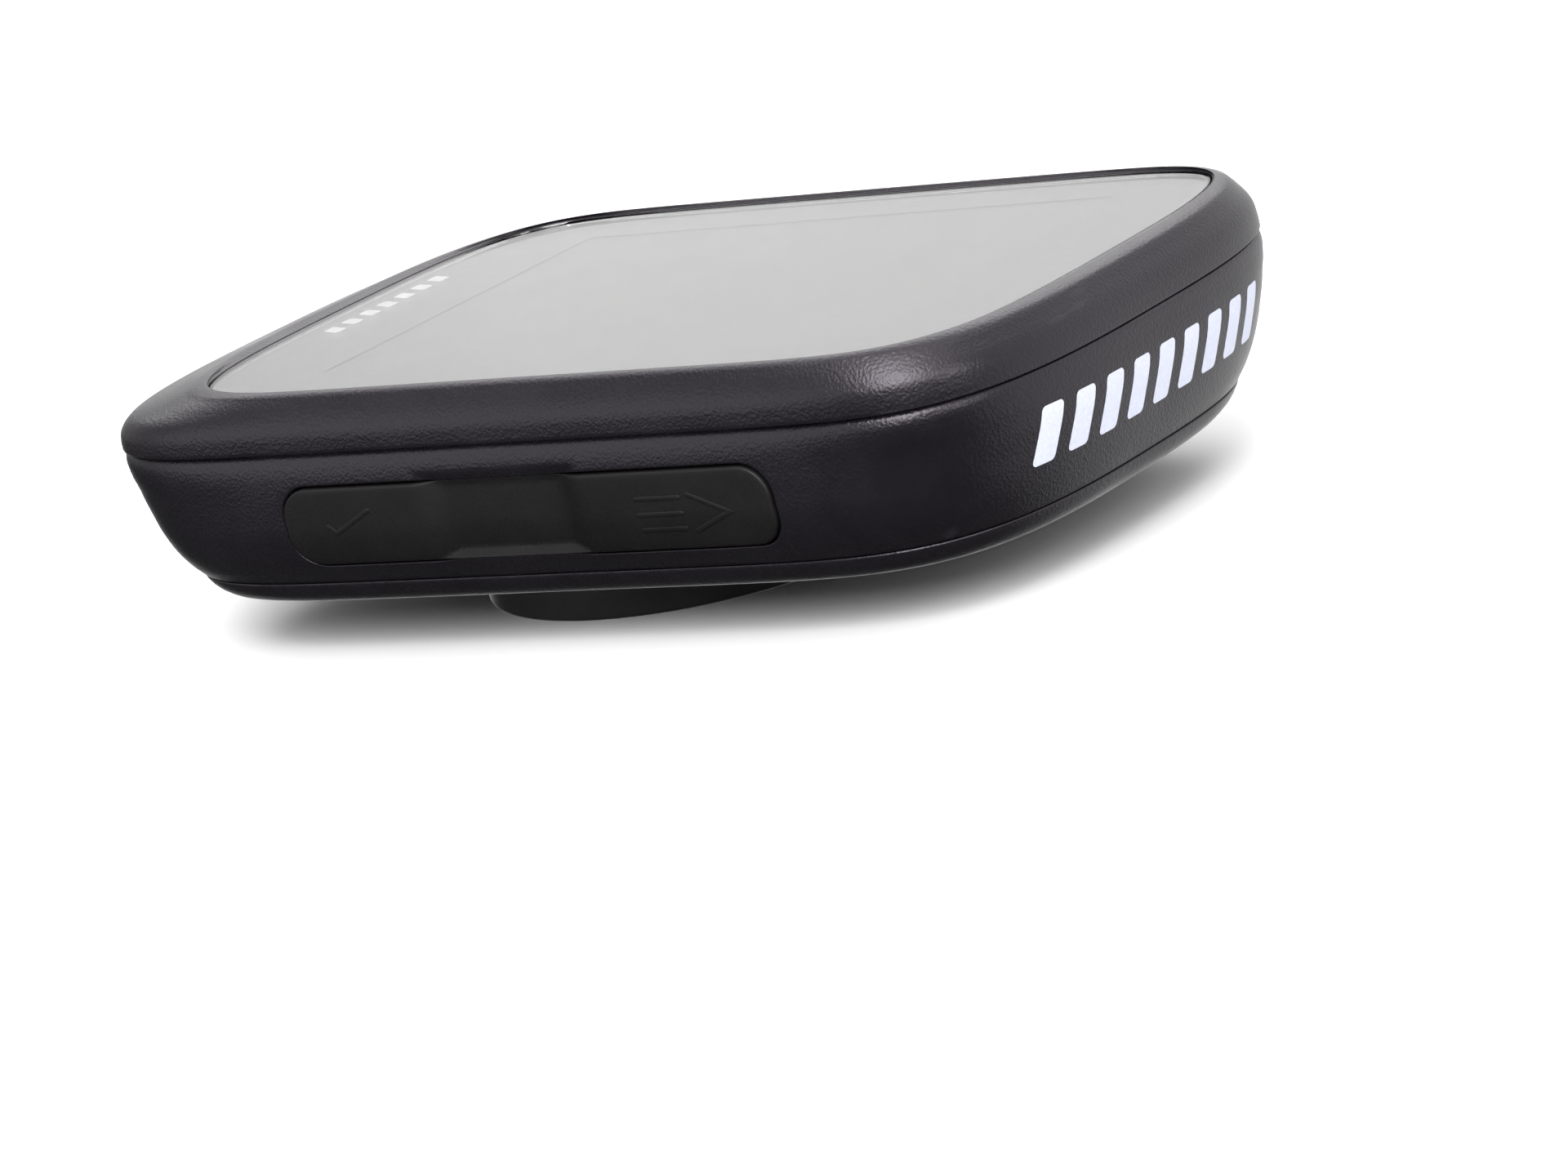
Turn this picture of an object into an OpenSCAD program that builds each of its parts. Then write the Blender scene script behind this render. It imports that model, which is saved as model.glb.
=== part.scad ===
// Compact bicycle computer with a quarter-turn bayonet on its back.
// Origin: centre of the bayonet's end face. +Z out of the display, +Y towards the front of the bicycle.

/* [Case] */
// Width of the case without its keys
case_w = 40.6; // [40:0.1:41.4]
// Length of the case without its keys
case_l = 62.8; // [62:0.1:63.6]
// Distance from the bayonet axis to the middle of the case
case_offset = 2; // [1.5:0.1:2.5]
// Height from the bayonet's end face to the top of the bezel lip
overall_h = 16; // [15.8:0.1:16.4]
// Wall thickness of the case
wall = 1.55; // [1.4:0.05:1.6]
// How much the glass lies below the bezel lip
glass_recess = 0.2; // [0.2:0.05:0.4]

/* [Bayonet] */
// Radius of the bayonet's round neck
neck_r = 12.6; // [12.4:0.1:12.8]
// Radius at the tips of the two lugs
lug_r = 15.3; // [15:0.1:15.5]
// Thickness of each lug
lug_t = 1.6; // [1.4:0.1:1.7]
// Height of the bayonet, from its end face to the back of the case
bayonet_h = 3.3; // [3.2:0.1:3.4]
// Angle that each lug spans
lug_angle = 52; // [44:1:60]

/* [Keys] */
// Height of every key
key_h = 4.6; // [4.4:0.1:4.7]
// Height of the keys' middle above the bayonet's end face
key_z = 8.45; // [8.4:0.05:8.5]
// Length of the key strip on each long side
side_strip_l = 33.4; // [32.8:0.1:33.6]
// Middle of the side key strips, from the bayonet axis
side_strip_y = 3.7; // [3.5:0.1:4]
// Length of the key strip on the rider's end
end_strip_l = 22.4; // [21.6:0.1:22.8]
// How far the keys stand proud of the case
key_proud = 0.2; // [0.1:0.05:0.25]
// How far a key is pressed in
key_travel = 0.35; // [0.2:0.05:0.4]

/* [Display] */
// Width of the active display
display_w = 27; // [26:0.1:28]
// Length of the active display
display_l = 36.3; // [35:0.1:37]

/* [Socket] */
// Middle of the charging socket, from the bayonet axis
socket_y = -19.2; // [-19.3:0.05:-19.1]

/* [Hidden] */

half_w = case_w / 2;
half_l = case_l / 2;
back_z = bayonet_h;
glass_z = overall_h - glass_recess;
around = 72;

// Split planes between the three shells, and the gap left at each.
low_seam_z = back_z + 1.42;
high_seam_z = overall_h - 3.25;
seam_gap = 0.05;

// Exponents of the case outline and of the glass outline, across and along the case.
case_n = 2.9;
case_m = 7.2;
glass_n = 3.1;
glass_m = 11.5;

// Glass outline, and where its middle lies from the middle of the case.
glass_a = half_w - 1.9;
glass_b = half_l - 5.1;
glass_shift = 2.3;
lens_t = 1;
adhesive_t = 0.15;
ledge_z = glass_z - lens_t - adhesive_t;
ledge_t = 1.05;
ledge_w = 2.2;
fit_gap = 0.1;

// Inside of the case.
inner_a = half_w - wall;
inner_b = half_l - wall - 0.25;
tongue_t = 0.9;
tongue_h = 0.8;
floor_t = 1.3;
floor_z = back_z + floor_t;

// Circuit board and what hangs from it.
board_t = 0.8;
board_z = 9.8;
board_top = board_z + board_t;
column_x = 12.4;
column_y = 22.4;
column_r = 2.2;
column_z = low_seam_z + tongue_h + 0.15;
case_screw_r = 0.7;
board_screw_r = 0.6;
thread_gap = 0.05;
head_r = 1.45;
head_h = 0.8;

// Display stack.
display_y = case_offset + 2.95;
panel_t = 1.15;
panel_top = glass_z - lens_t - 0.05;
panel_margin = [1.6, 1.6];
guide_t = 0.7;
guide_top = panel_top - panel_t - 0.05;
tray_floor = 0.4;
tray_wall = 0.55;

// Keys, their strips and their switches. A strip's first key is its lower one along the strip.
key_gap = 0.1;
key_corner = 1.8;
side_key_l = 11.8;
end_key_l = 8.9;
side_plane = inner_a + 0.15;
end_plane = inner_b - case_offset - 0.5;
web_depth = 0.75;
nub_r = 0.8;
switch_size = [2.8, 4.5, 2.4];
plunger_size = [1.4, 1.9, 1.1];
plunger_out = 0.6;
nub_l = 0.8;
side_switch_face = side_plane - nub_l - 0.02 - plunger_out;
end_switch_face = end_plane - nub_l - 0.02 - plunger_out;
side_key_y = [side_strip_y - side_strip_l / 2 + side_key_l / 2, side_strip_y + side_strip_l / 2 - side_key_l / 2];
end_key_x = end_strip_l / 2 - end_key_l / 2;

// Charging socket and its rubber flap.
flap_t = 0.7;
flap_size = [12.6, 5.9];
strap_w = 8;
strap_l = 2.2;
flap_root = 0.3;
hinge_y = socket_y - flap_size[1] / 2 - flap_root;
hinge_z = back_z + flap_t / 2;
anchor_y = hinge_y - flap_t / 2 - 0.1 - strap_l / 2;
peg_y = hinge_y - 0.95;
socket_size = [7.5, 2.9];
socket_hole = [6.9, 1.9];
socket_z = floor_z + 0.1;
port_size = [8.6, 3.6];

// Vent, in the back cover and under the pressure sensor.
vent_at = [-6.6, case_offset + 24.3];

// Battery.
battery_size = [27.8, 35, 4];
battery_y = 2.5;
battery_z = floor_z + 0.75;
tape_t = 0.12;
lead_r = 0.35;

// ---- outlines and lofts ----

// Points of |x/a|^n + |y/b|^m = 1, shifted by cy along the case.
function outline(a, b, n, m, cy) = [
    for (i = [0:around - 1])
        let (t = 360 * i / around, c = cos(t), s = sin(t))
            [a * sign(c) * pow(abs(c), 2 / n), cy + b * sign(s) * pow(abs(s), 2 / m)]
];

// A level is [z, half width, half length, shift, n, m].
function level(z, a, b, shift = 0, n = case_n, m = case_m) = [z, a, b, shift, n, m];

function ring(l) = [for (p = outline(l[1], l[2], l[4], l[5], case_offset + l[3])) [p[0], p[1], l[0]]];

// Triangles between ring i and ring j, seen from outside when the rings go up the outer skin.
function band(i, j) = [
    for (k = [0:around - 1])
        let (a = i * around + k, b = i * around + (k + 1) % around, c = j * around + k,
             d = j * around + (k + 1) % around)
            each [[a, c, b], [b, c, d]]
];

// A solid through the levels: a hollow ring when loop is true, and closed by flat caps when it isn't.
module loft(levels, loop = false) {
    count = len(levels);
    points = [for (l = levels) each ring(l)];
    sides = [for (i = [0:count - 2]) each band(i, i + 1)];
    caps = [
        [for (k = [0:around - 1]) k],
        [for (k = [around - 1:-1:0]) (count - 1) * around + k]
    ];
    polyhedron(points, concat(sides, loop ? band(count - 1, 0) : caps), convexity = 6);
}

// Outer skin of the middle shell, grown by g.
function mid_skin(g = 0) = [
    level(low_seam_z + seam_gap, half_w - 1.68 + g, half_l - 2.28 + g),
    level(back_z + 2.3, half_w - 1 + g, half_l - 1.8 + g),
    level(back_z + 3.5, half_w - 0.37 + g, half_l - 1.25 + g),
    level(back_z + 5.1, half_w - 0.04 + g, half_l - 0.65 + g),
    level(back_z + 6.9, half_w + g, half_l - 0.12 + g, 0, case_n, case_m + 0.2),
    level(high_seam_z - 1.4, half_w - 0.06 + g, half_l + g, 0, case_n, case_m + 1),
    level(high_seam_z - 0.5, half_w - 0.24 + g, half_l + g, 0, case_n, case_m + 1.6),
    level(high_seam_z - seam_gap, half_w - 0.42 + g, half_l - 0.04 + g, 0, case_n, case_m + 1.6)
];

module prism(a, b, shift, n, m, z, h) {
    translate([0, 0, z])
        linear_extrude(h)
            polygon(outline(a, b, n, m, case_offset + shift));
}

module rounded(w, l, r) {
    square([w - 2 * r, l], center = true);
    square([w, l - 2 * r], center = true);
    for (x = [-1, 1], y = [-1, 1])
        translate([x * (w / 2 - r), y * (l / 2 - r)])
            circle(r, $fn = 48);
}

module rod(r, z0, z1) {
    translate([0, 0, z0])
        cylinder(r = r, h = z1 - z0, $fn = 48);
}

module block(size, at) {
    translate([at[0] - size[0] / 2, at[1] - size[1] / 2, at[2]])
        cube(size);
}

// ---- case ----

module front_bezel() {
    color("#1c1c1f")
        loft([
            level(high_seam_z, half_w - 0.08, half_l - 0.04, 0, 2.93, 8.8),
            level(high_seam_z + 0.39, half_w - 0.1, half_l - 0.05, 0, 2.95, 8.8),
            level(high_seam_z + 0.85, half_w - 0.16, half_l - 0.14, 0.03, 2.95, 8.8),
            level(overall_h - 1.5, half_w - 0.41, half_l - 0.7, 0.36, 2.97, 9),
            level(overall_h - 0.8, half_w - 0.67, half_l - 2.18, 1.3, 2.97, 8.8),
            level(overall_h - 0.3, half_w - 0.98, half_l - 3.98, 2.45, 2.95, 8.6),
            level(overall_h - 0.09, half_w - 1.06, half_l - 4.06, 2.45, 2.95, 8.6),
            level(overall_h, half_w - 1.27, half_l - 4.27, 2.45, 2.95, 8.7),
            level(overall_h, half_w - 1.4, half_l - 4.42, 2.45, 2.97, 8.8),
            level(overall_h - 0.1, half_w - 1.62, half_l - 4.74, 2.37, 3.05, 10.2),
            level(glass_z + 0.01, glass_a + fit_gap, glass_b + fit_gap, glass_shift, glass_n, glass_m),
            level(ledge_z, glass_a + fit_gap, glass_b + fit_gap, glass_shift, glass_n, glass_m),
            level(ledge_z, glass_a - ledge_w, glass_b - ledge_w, glass_shift, glass_n, glass_m),
            level(ledge_z - ledge_t, glass_a - ledge_w, glass_b - ledge_w, glass_shift, glass_n, glass_m),
            level(ledge_z - ledge_t, inner_a - 0.5, inner_b - 1.8, 0.7, 3, 9),
            level(high_seam_z, inner_a - 0.05, inner_b - 0.1)
        ], loop = true);
}

// The stadium-like opening of a key strip, as a prism along +X from x0.
module strip_opening(x0, l, grow) {
    translate([x0, 0, key_z])
        rotate([90, 0, 90])
            linear_extrude(half_w)
                rounded(l + 2 * grow, key_h + 2 * grow, key_corner + grow);
}

module on_end() {
    rotate([0, 0, -90])
        children();
}

module case_columns() {
    for (x = [-1, 1], y = [-1, 1])
        translate([x * column_x, case_offset + y * column_y, 0]) {
            rod(column_r, column_z, board_z - 0.05);
            block([5.8, 1.4, board_z - column_z - 1.4], [x * 3.3, 0, column_z + 1.3]);
        }
}

module column_bores() {
    for (x = [-1, 1], y = [-1, 1])
        translate([x * column_x, case_offset + y * column_y, 0]) {
            rod(case_screw_r + thread_gap, column_z - 1, board_z - 2);
            rod(board_screw_r + thread_gap, board_z - 1.6, board_z + 1);
        }
}

module mid_frame() {
    color("#18181b")
        difference() {
            union() {
                loft(concat(mid_skin(), [
                    level(high_seam_z - seam_gap, inner_a, inner_b),
                    level(back_z + 4.2, inner_a, inner_b - 0.1),
                    level(back_z + 3.3, inner_a, inner_b - 0.8),
                    level(back_z + 2.3, half_w - 3, half_l - 3.7),
                    level(low_seam_z + seam_gap, half_w - 3, half_l - 3.7)
                ]), loop = true);
                case_columns();
            }
            column_bores();
            for (side = [0, 1])
                mirror([side, 0, 0])
                    translate([0, side_strip_y, 0])
                        strip_opening(inner_a - 4, side_strip_l, 0.1);
            on_end()
                strip_opening(end_plane - 4, end_strip_l, 0.1);
        }
}

module back_cover() {
    color("#17171a")
        difference() {
            union() {
                for (x = [-1, 1], y = [-1, 1])
                    translate([x * column_x, case_offset + y * column_y, 0])
                        rod(column_r, floor_z - 0.2, column_z - 0.02);
                loft([
                    level(back_z, half_w - 3.1, half_l - 3.7),
                    level(back_z + 0.25, half_w - 2.55, half_l - 3.2),
                    level(back_z + 0.9, half_w - 1.9, half_l - 2.55),
                    level(low_seam_z, half_w - 1.7, half_l - 2.3),
                    level(low_seam_z, half_w - 3.15, half_l - 3.85),
                    level(low_seam_z + tongue_h, half_w - 3.2, half_l - 3.9),
                    level(low_seam_z + tongue_h, half_w - 3.2 - tongue_t, half_l - 3.9 - tongue_t),
                    level(floor_z, half_w - 3.2 - tongue_t, half_l - 3.9 - tongue_t)
                ]);
            }
            rod(neck_r + 0.1, back_z - 1, floor_z + 1);
            for (x = [-1, 1], y = [-1, 1])
                translate([x * column_x, case_offset + y * column_y, 0]) {
                    rod(head_r + 0.15, back_z - 1, back_z + head_h + 0.05);
                    rod(case_screw_r + 0.15, back_z, column_z + 1);
                }
            translate([0, hinge_y + 2.75, back_z - 1])
                linear_extrude(1 + flap_t + 0.03)
                    rounded(flap_size[0] + 0.3, 7.2, 1.5);
            translate([0, anchor_y, back_z - 1])
                linear_extrude(1 + flap_t + 0.03)
                    rounded(strap_w + 0.3, strap_l + 0.3, 0.8);
            block([port_size[0], port_size[1], 3], [0, socket_y, back_z]);
            translate([0, peg_y, 0])
                rod(0.85, back_z, floor_z + 1);
            translate([vent_at[0], vent_at[1], 0])
                rod(0.5, back_z - 1, floor_z + 1);
        }
}

// Bayonet insert: neck, two lugs along the case, and a flange bonded inside the back cover.
module quarter_turn_mount() {
    spread = lug_angle / 2;
    groove_r = neck_r - 2.6;
    color("#1a1a1d")
        difference() {
            union() {
                rod(neck_r, 0, floor_z + 0.05);
                rod(neck_r + 1.9, floor_z + 0.05, floor_z + 0.6);
                intersection() {
                    rod(lug_r, 0, lug_t);
                    for (turn = [90, 270])
                        rotate([0, 0, turn])
                            linear_extrude(lug_t)
                                polygon([[0, 0], 20 * [cos(spread), -sin(spread)], 20 * [cos(spread), sin(spread)]]);
                }
            }
            difference() {
                rod(groove_r, -1, 0.35);
                rod(groove_r - 3.4, -2, 1);
            }
            rod(neck_r - 1.6, 1.6, floor_z + 1);
            for (turn = [90, 270])
                rotate([0, 0, turn])
                    translate([lug_r + 0.25, 0, 0])
                        rod(0.8, -1, lug_t + 1);
        }
}

module case_screws() {
    color("#3c3d40")
        for (x = [-1, 1], y = [-1, 1])
            translate([x * column_x, case_offset + y * column_y, 0])
                difference() {
                    union() {
                        rod(head_r, back_z + 0.05, back_z + head_h);
                        rod(case_screw_r, back_z + head_h - 0.1, board_z - 2.2);
                    }
                    translate([0, 0, back_z - 0.2])
                        cylinder(r = 0.75, h = 0.7, $fn = 6);
                }
}

module board_screws() {
    color("#b9bcc2")
        for (x = [-1, 1], y = [-1, 1])
            translate([x * column_x, case_offset + y * column_y, 0])
                difference() {
                    union() {
                        rod(1.15, board_top + 0.02, board_top + 0.6);
                        rod(board_screw_r, board_z - 1.4, board_top + 0.3);
                    }
                    translate([0, 0, board_top + 0.3])
                        cylinder(r = 0.5, h = 1, $fn = 6);
                }
}

// A seal that follows an outline, between insets from the case half sizes.
module seal(z, h, w_in, l_in, t) {
    translate([0, 0, z])
        linear_extrude(h)
            difference() {
                polygon(outline(half_w - w_in, half_l - l_in, case_n, case_m, case_offset));
                polygon(outline(half_w - w_in - t, half_l - l_in - t, case_n, case_m, case_offset));
            }
}

module front_gasket() {
    color("#5a2d2d")
        seal(high_seam_z - 0.045, 0.04, 0.75, 0.95, 0.6);
}

module rear_gasket() {
    color("#5a2d2d")
        seal(low_seam_z + 0.005, 0.04, 1.95, 2.6, 0.8);
}

// ---- display ----

module lens() {
    color("#b9bdbf", 0.5)
        prism(glass_a, glass_b, glass_shift, glass_n, glass_m, glass_z - lens_t, lens_t);
}

module lens_adhesive() {
    color("#202022")
        difference() {
            prism(glass_a - 0.15, glass_b - 0.15, glass_shift, glass_n, glass_m, ledge_z, adhesive_t);
            prism(glass_a - 1.6, glass_b - 1.6, glass_shift, glass_n, glass_m, ledge_z - 1, 2);
        }
}

module display_panel() {
    color("#8b9088")
        block([display_w + 2 * panel_margin[0], display_l + 2 * panel_margin[1], panel_t],
              [0, display_y, panel_top - panel_t]);
}

module backlight_guide() {
    color("#e4e8ea")
        block([display_w + 2, display_l + 2, guide_t], [0, display_y, guide_top - guide_t]);
}

module display_tray() {
    outer = [display_w + 4.2, display_l + 5, guide_t + tray_floor + 0.05];
    color("#dcdcd6")
        difference() {
            block(outer, [0, display_y, guide_top - guide_t - tray_floor - 0.05]);
            block([outer[0] - 2 * tray_wall, outer[1] - 2 * tray_wall, outer[2]],
                  [0, display_y, guide_top - guide_t - 0.05]);
        }
}

// Folded ribbon from the panel's rear edge down to the board.
module display_flex() {
    t = 0.15;
    start = display_y - display_l / 2 - panel_margin[1];
    top = panel_top - panel_t + 0.3;
    foot = board_top + 1.05;
    bend = 1.3;
    color("#c07a32")
        translate([-6, 0, 0])
            rotate([90, 0, 90])
                linear_extrude(12) {
                    translate([start - bend, top])
                        square([bend - 0.02, t]);
                    translate([start - bend, foot + t])
                        square([t, top - foot]);
                    translate([start - bend, foot])
                        square([3.6, t]);
                }
}

module flex_connector() {
    color("#e9e2cf")
        block([13, 2.2, 1], [0, display_y - display_l / 2 - panel_margin[1] + 1, board_top + 0.02]);
}

// ---- electronics ----

module main_board() {
    color("#1f5a38")
        difference() {
            prism(inner_a - 1.1, inner_b - 1.2, 0, case_n, case_m, board_z, board_t);
            for (x = [-1, 1], y = [-1, 1])
                translate([x * column_x, case_offset + y * column_y, 0])
                    rod(board_screw_r + 0.1, board_z - 1, board_top + 1);
        }
}

module board_chips() {
    z = board_top + 0.02;
    color("#26282c") {
        block([7, 7, 0.8], [-6, 8, z]);
        block([5, 6, 0.7], [8.5, 10, z]);
        block([4, 4, 0.7], [9, 2, z]);
        block([3, 2.5, 0.9], [-11, -3, z]);
        for (i = [0:5])
            block([0.6, 1, 0.5], [2 + i * 1.3, 15.6, z]);
    }
}

module shield_can() {
    color("#c9ccd0")
        difference() {
            block([13, 11, 0.95], [0, -6, board_top + 0.02]);
            block([12.6, 10.6, 0.8], [0, -6, board_top + 0.01]);
        }
}

module gnss_antenna() {
    color("#d8cdb4")
        block([17, 2.4, 2], [0, case_offset + 25.9, board_top + 0.02]);
}

module buzzer() {
    color("#2b2b2e")
        translate([4.4, case_offset + 23.2, 0])
            difference() {
                rod(3.1, board_z - 2.4, board_z - 0.02);
                rod(0.6, board_z - 3, board_z - 1.9);
            }
}

module pressure_sensor() {
    color("#b7bac0")
        block([2.5, 2.5, 1.1], [vent_at[0], vent_at[1], board_z - 1.12]);
}

module vent_membrane() {
    color("#e8e8e4")
        translate([vent_at[0], vent_at[1], 0])
            rod(1.6, floor_z + 0.02, floor_z + 0.2);
}

module battery_cell() {
    edge = 1;
    color("#9aa0a8")
        translate([0, battery_y + battery_size[1] / 2, battery_z])
            rotate([90, 0, 0])
                linear_extrude(battery_size[1])
                    translate([0, battery_size[2] / 2])
                        rounded(battery_size[0], battery_size[2], edge);
}

module battery_tape() {
    color("#e6d9a8")
        block([20, 28, tape_t], [0, battery_y, battery_z - tape_t - 0.01]);
}

// One lead: out of the cell, a quarter bend, and up into the connector.
module battery_lead(x) {
    y0 = battery_y + battery_size[1] / 2 + 0.02;
    z0 = battery_z + 2;
    bend = 1;
    translate([x, y0, z0])
        rotate([-90, 0, 0])
            cylinder(r = lead_r, h = 0.5, $fn = 24);
    translate([x, y0 + 0.5, z0 + bend])
        rotate([0, 90, 0])
            rotate_extrude(angle = 90, $fn = 48)
                translate([bend, 0])
                    circle(lead_r, $fn = 24);
    translate([x, y0 + 0.5 + bend, z0 + bend])
        cylinder(r = lead_r, h = 0.4, $fn = 24);
}

module battery_connector() {
    y = battery_y + battery_size[1] / 2 + 1.52;
    color("#efe9dc")
        block([4.2, 2.2, board_z - battery_z - 3.45], [-2.6, y, battery_z + 3.42]);
}

// ---- charging socket ----

module usb_socket() {
    color("#c4c7cc")
        difference() {
            block([socket_size[0], socket_size[1], board_z - socket_z - 0.02], [0, socket_y, socket_z]);
            block([socket_hole[0], socket_hole[1], board_z - socket_z - 0.8], [0, socket_y, socket_z - 0.01]);
        }
}

module usb_tongue() {
    color("#232326")
        block([4.4, 0.6, board_z - socket_z - 1.6], [0, socket_y - 0.45, socket_z + 0.75]);
}

module usb_flap() {
    skirt = [6.2, 1.3];
    color("#202023")
        difference() {
            union() {
                translate([0, socket_y, back_z])
                    linear_extrude(flap_t)
                        rounded(flap_size[0], flap_size[1], 1.4);
                translate([0, hinge_y, hinge_z])
                    rod_x(flap_t / 2, strap_w);
                block([strap_w, flap_root + 1, flap_t], [0, hinge_y + flap_root / 2 + 0.5, back_z]);
                translate([0, socket_y, back_z + flap_t - 0.1])
                    linear_extrude(1.3)
                        rounded(skirt[0], skirt[1], 0.3);
            }
            translate([0, socket_y + flap_size[1] / 2 + 0.3, back_z - 0.01])
                rod_x(0.6, 5);
        }
}

// A rod of radius r along X, centred on the origin.
module rod_x(r, l) {
    rotate([0, 90, 0])
        cylinder(r = r, h = l, center = true, $fn = 32);
}

// Tail of the flap: its end by the hinge is cut back underneath so that the flap can fold over.
module usb_flap_anchor() {
    color("#202023") {
        difference() {
            translate([0, anchor_y, back_z])
                linear_extrude(flap_t)
                    rounded(strap_w, strap_l, 0.7);
            translate([0, anchor_y + strap_l / 2, back_z])
                rotate([45, 0, 0])
                    cube([strap_w + 2, 0.5, 0.5], center = true);
        }
        translate([0, peg_y, 0]) {
            rod(0.8, back_z + flap_t - 0.1, floor_z + 0.5);
            rod(1.1, floor_z + 0.03, floor_z + 0.5);
        }
    }
}

// ---- keys and switches ----

// Part of a key strip between y0 and y1 along it, from x0 out to the skin given as its child.
module strip_part(l, y_mid, y0, y1, x0) {
    intersection() {
        translate([0, y_mid, 0])
            strip_opening(x0, l, 0);
        translate([0, y0, 0])
            cube([2 * half_l, y1 - y0, 2 * overall_h]);
        children();
    }
}

module side_part(y0, y1, g) {
    strip_part(side_strip_l, side_strip_y, y0, y1, side_plane)
        loft(mid_skin(g));
}

module end_part(y0, y1, g) {
    strip_part(end_strip_l, 0, y0, y1, end_plane)
        rotate([0, 0, 90])
            loft(mid_skin(g));
}

module nub(plane) {
    translate([plane - nub_l / 2 + 0.2, 0, key_z])
        rod_x(nub_r, nub_l + 0.4);
}

// Which is 0 for the rider's key and 1 for the front key.
module side_key(which) {
    y0 = side_key_y[which] - side_key_l / 2;
    color("#1b1b1e") {
        side_part(y0, y0 + side_key_l, key_proud);
        translate([0, side_key_y[which], 0])
            nub(side_plane);
    }
}

module side_web() {
    reach = side_strip_l / 2 - side_key_l - key_gap;
    color("#1b1b1e")
        side_part(side_strip_y - reach, side_strip_y + reach, -web_depth);
}

module end_key() {
    color("#1b1b1e") {
        end_part(end_key_x - end_key_l / 2, end_key_x + end_key_l / 2, key_proud);
        translate([0, end_key_x, 0])
            nub(end_plane);
    }
}

module end_web() {
    reach = end_strip_l / 2 - end_key_l - key_gap;
    color("#1b1b1e")
        end_part(-reach, reach, -web_depth);
}

// Hollow switch body whose face is at x, open towards +X for its plunger.
module switch_body(x, y) {
    inside = plunger_size + [0, 0.16, 0.16];
    difference() {
        block(switch_size, [x - switch_size[0] / 2, y, board_z - switch_size[2] - 0.02]);
        block([inside[0], inside[1], inside[2]],
              [x - inside[0] / 2 + 0.01, y, key_z - inside[2] / 2]);
    }
}

module plunger(x, y) {
    color("#d9d4c4")
        block(plunger_size, [x + plunger_out - plunger_size[0] / 2, y, key_z - plunger_size[2] / 2]);
}

module side_switches() {
    color("#2d2e32") {
        for (side = [0, 1], y = side_key_y)
            mirror([side, 0, 0])
                switch_body(side_switch_face, y);
        for (x = [-1, 1])
            on_end()
                switch_body(end_switch_face, x * end_key_x);
    }
}

module left() {
    mirror([1, 0, 0])
        children();
}

front_bezel();
mid_frame();
back_cover();
quarter_turn_mount();
lens();
lens_adhesive();
display_panel();
backlight_guide();
display_tray();
display_flex();
front_gasket();
rear_gasket();
main_board();
board_chips();
shield_can();
gnss_antenna();
flex_connector();
side_switches();
buzzer();
pressure_sensor();
vent_membrane();
battery_cell();
battery_tape();
color("#b03030") battery_lead(-3.3);  // battery_lead_red
color("#1e1e20") battery_lead(-1.9);  // battery_lead_black
battery_connector();
usb_socket();
usb_tongue();
usb_flap();
usb_flap_anchor();
case_screws();
board_screws();
side_web();  // right_key_web
left() side_web();  // left_key_web
on_end() end_web();  // end_key_web
side_key(1);  // menu_up_key
side_key(0);  // enter_key
left() side_key(1);  // power_key
left() side_key(0);  // down_key
on_end() end_key();  // start_key
left() on_end() end_key();  // lap_key
plunger(side_switch_face, side_key_y[1]);  // menu_up_plunger
plunger(side_switch_face, side_key_y[0]);  // enter_plunger
left() plunger(side_switch_face, side_key_y[1]);  // power_plunger
left() plunger(side_switch_face, side_key_y[0]);  // down_plunger
on_end() plunger(end_switch_face, end_key_x);  // start_plunger
left() on_end() plunger(end_switch_face, end_key_x);  // lap_plunger
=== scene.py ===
"""Looks of a compact cycling computer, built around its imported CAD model.

Lengths are in millimetres until they reach Blender. +X is the rider's right, +Y is forward and +Z comes out
of the display; the origin is the centre of the bayonet's end face.
"""

import math

import bmesh
import bpy
import numpy as np
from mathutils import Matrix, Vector
from mathutils.geometry import delaunay_2d_cdt


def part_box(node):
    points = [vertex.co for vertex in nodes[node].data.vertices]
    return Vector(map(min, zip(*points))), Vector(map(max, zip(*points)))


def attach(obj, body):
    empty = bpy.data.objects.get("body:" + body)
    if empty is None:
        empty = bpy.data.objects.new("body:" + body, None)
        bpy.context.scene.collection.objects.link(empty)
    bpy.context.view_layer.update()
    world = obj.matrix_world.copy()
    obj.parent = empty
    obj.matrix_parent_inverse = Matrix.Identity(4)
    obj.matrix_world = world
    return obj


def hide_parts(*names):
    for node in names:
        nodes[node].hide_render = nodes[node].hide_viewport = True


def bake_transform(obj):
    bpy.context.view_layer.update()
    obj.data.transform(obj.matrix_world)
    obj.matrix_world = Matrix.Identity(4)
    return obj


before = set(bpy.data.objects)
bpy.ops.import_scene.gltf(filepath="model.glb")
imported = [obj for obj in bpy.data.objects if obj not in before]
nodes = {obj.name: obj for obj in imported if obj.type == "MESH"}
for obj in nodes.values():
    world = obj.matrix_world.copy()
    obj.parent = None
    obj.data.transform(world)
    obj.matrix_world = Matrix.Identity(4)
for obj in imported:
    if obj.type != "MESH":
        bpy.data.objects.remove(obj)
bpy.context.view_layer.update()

MM = 0.001
AROUND = 72  # points on each quarter of an outline

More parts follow.
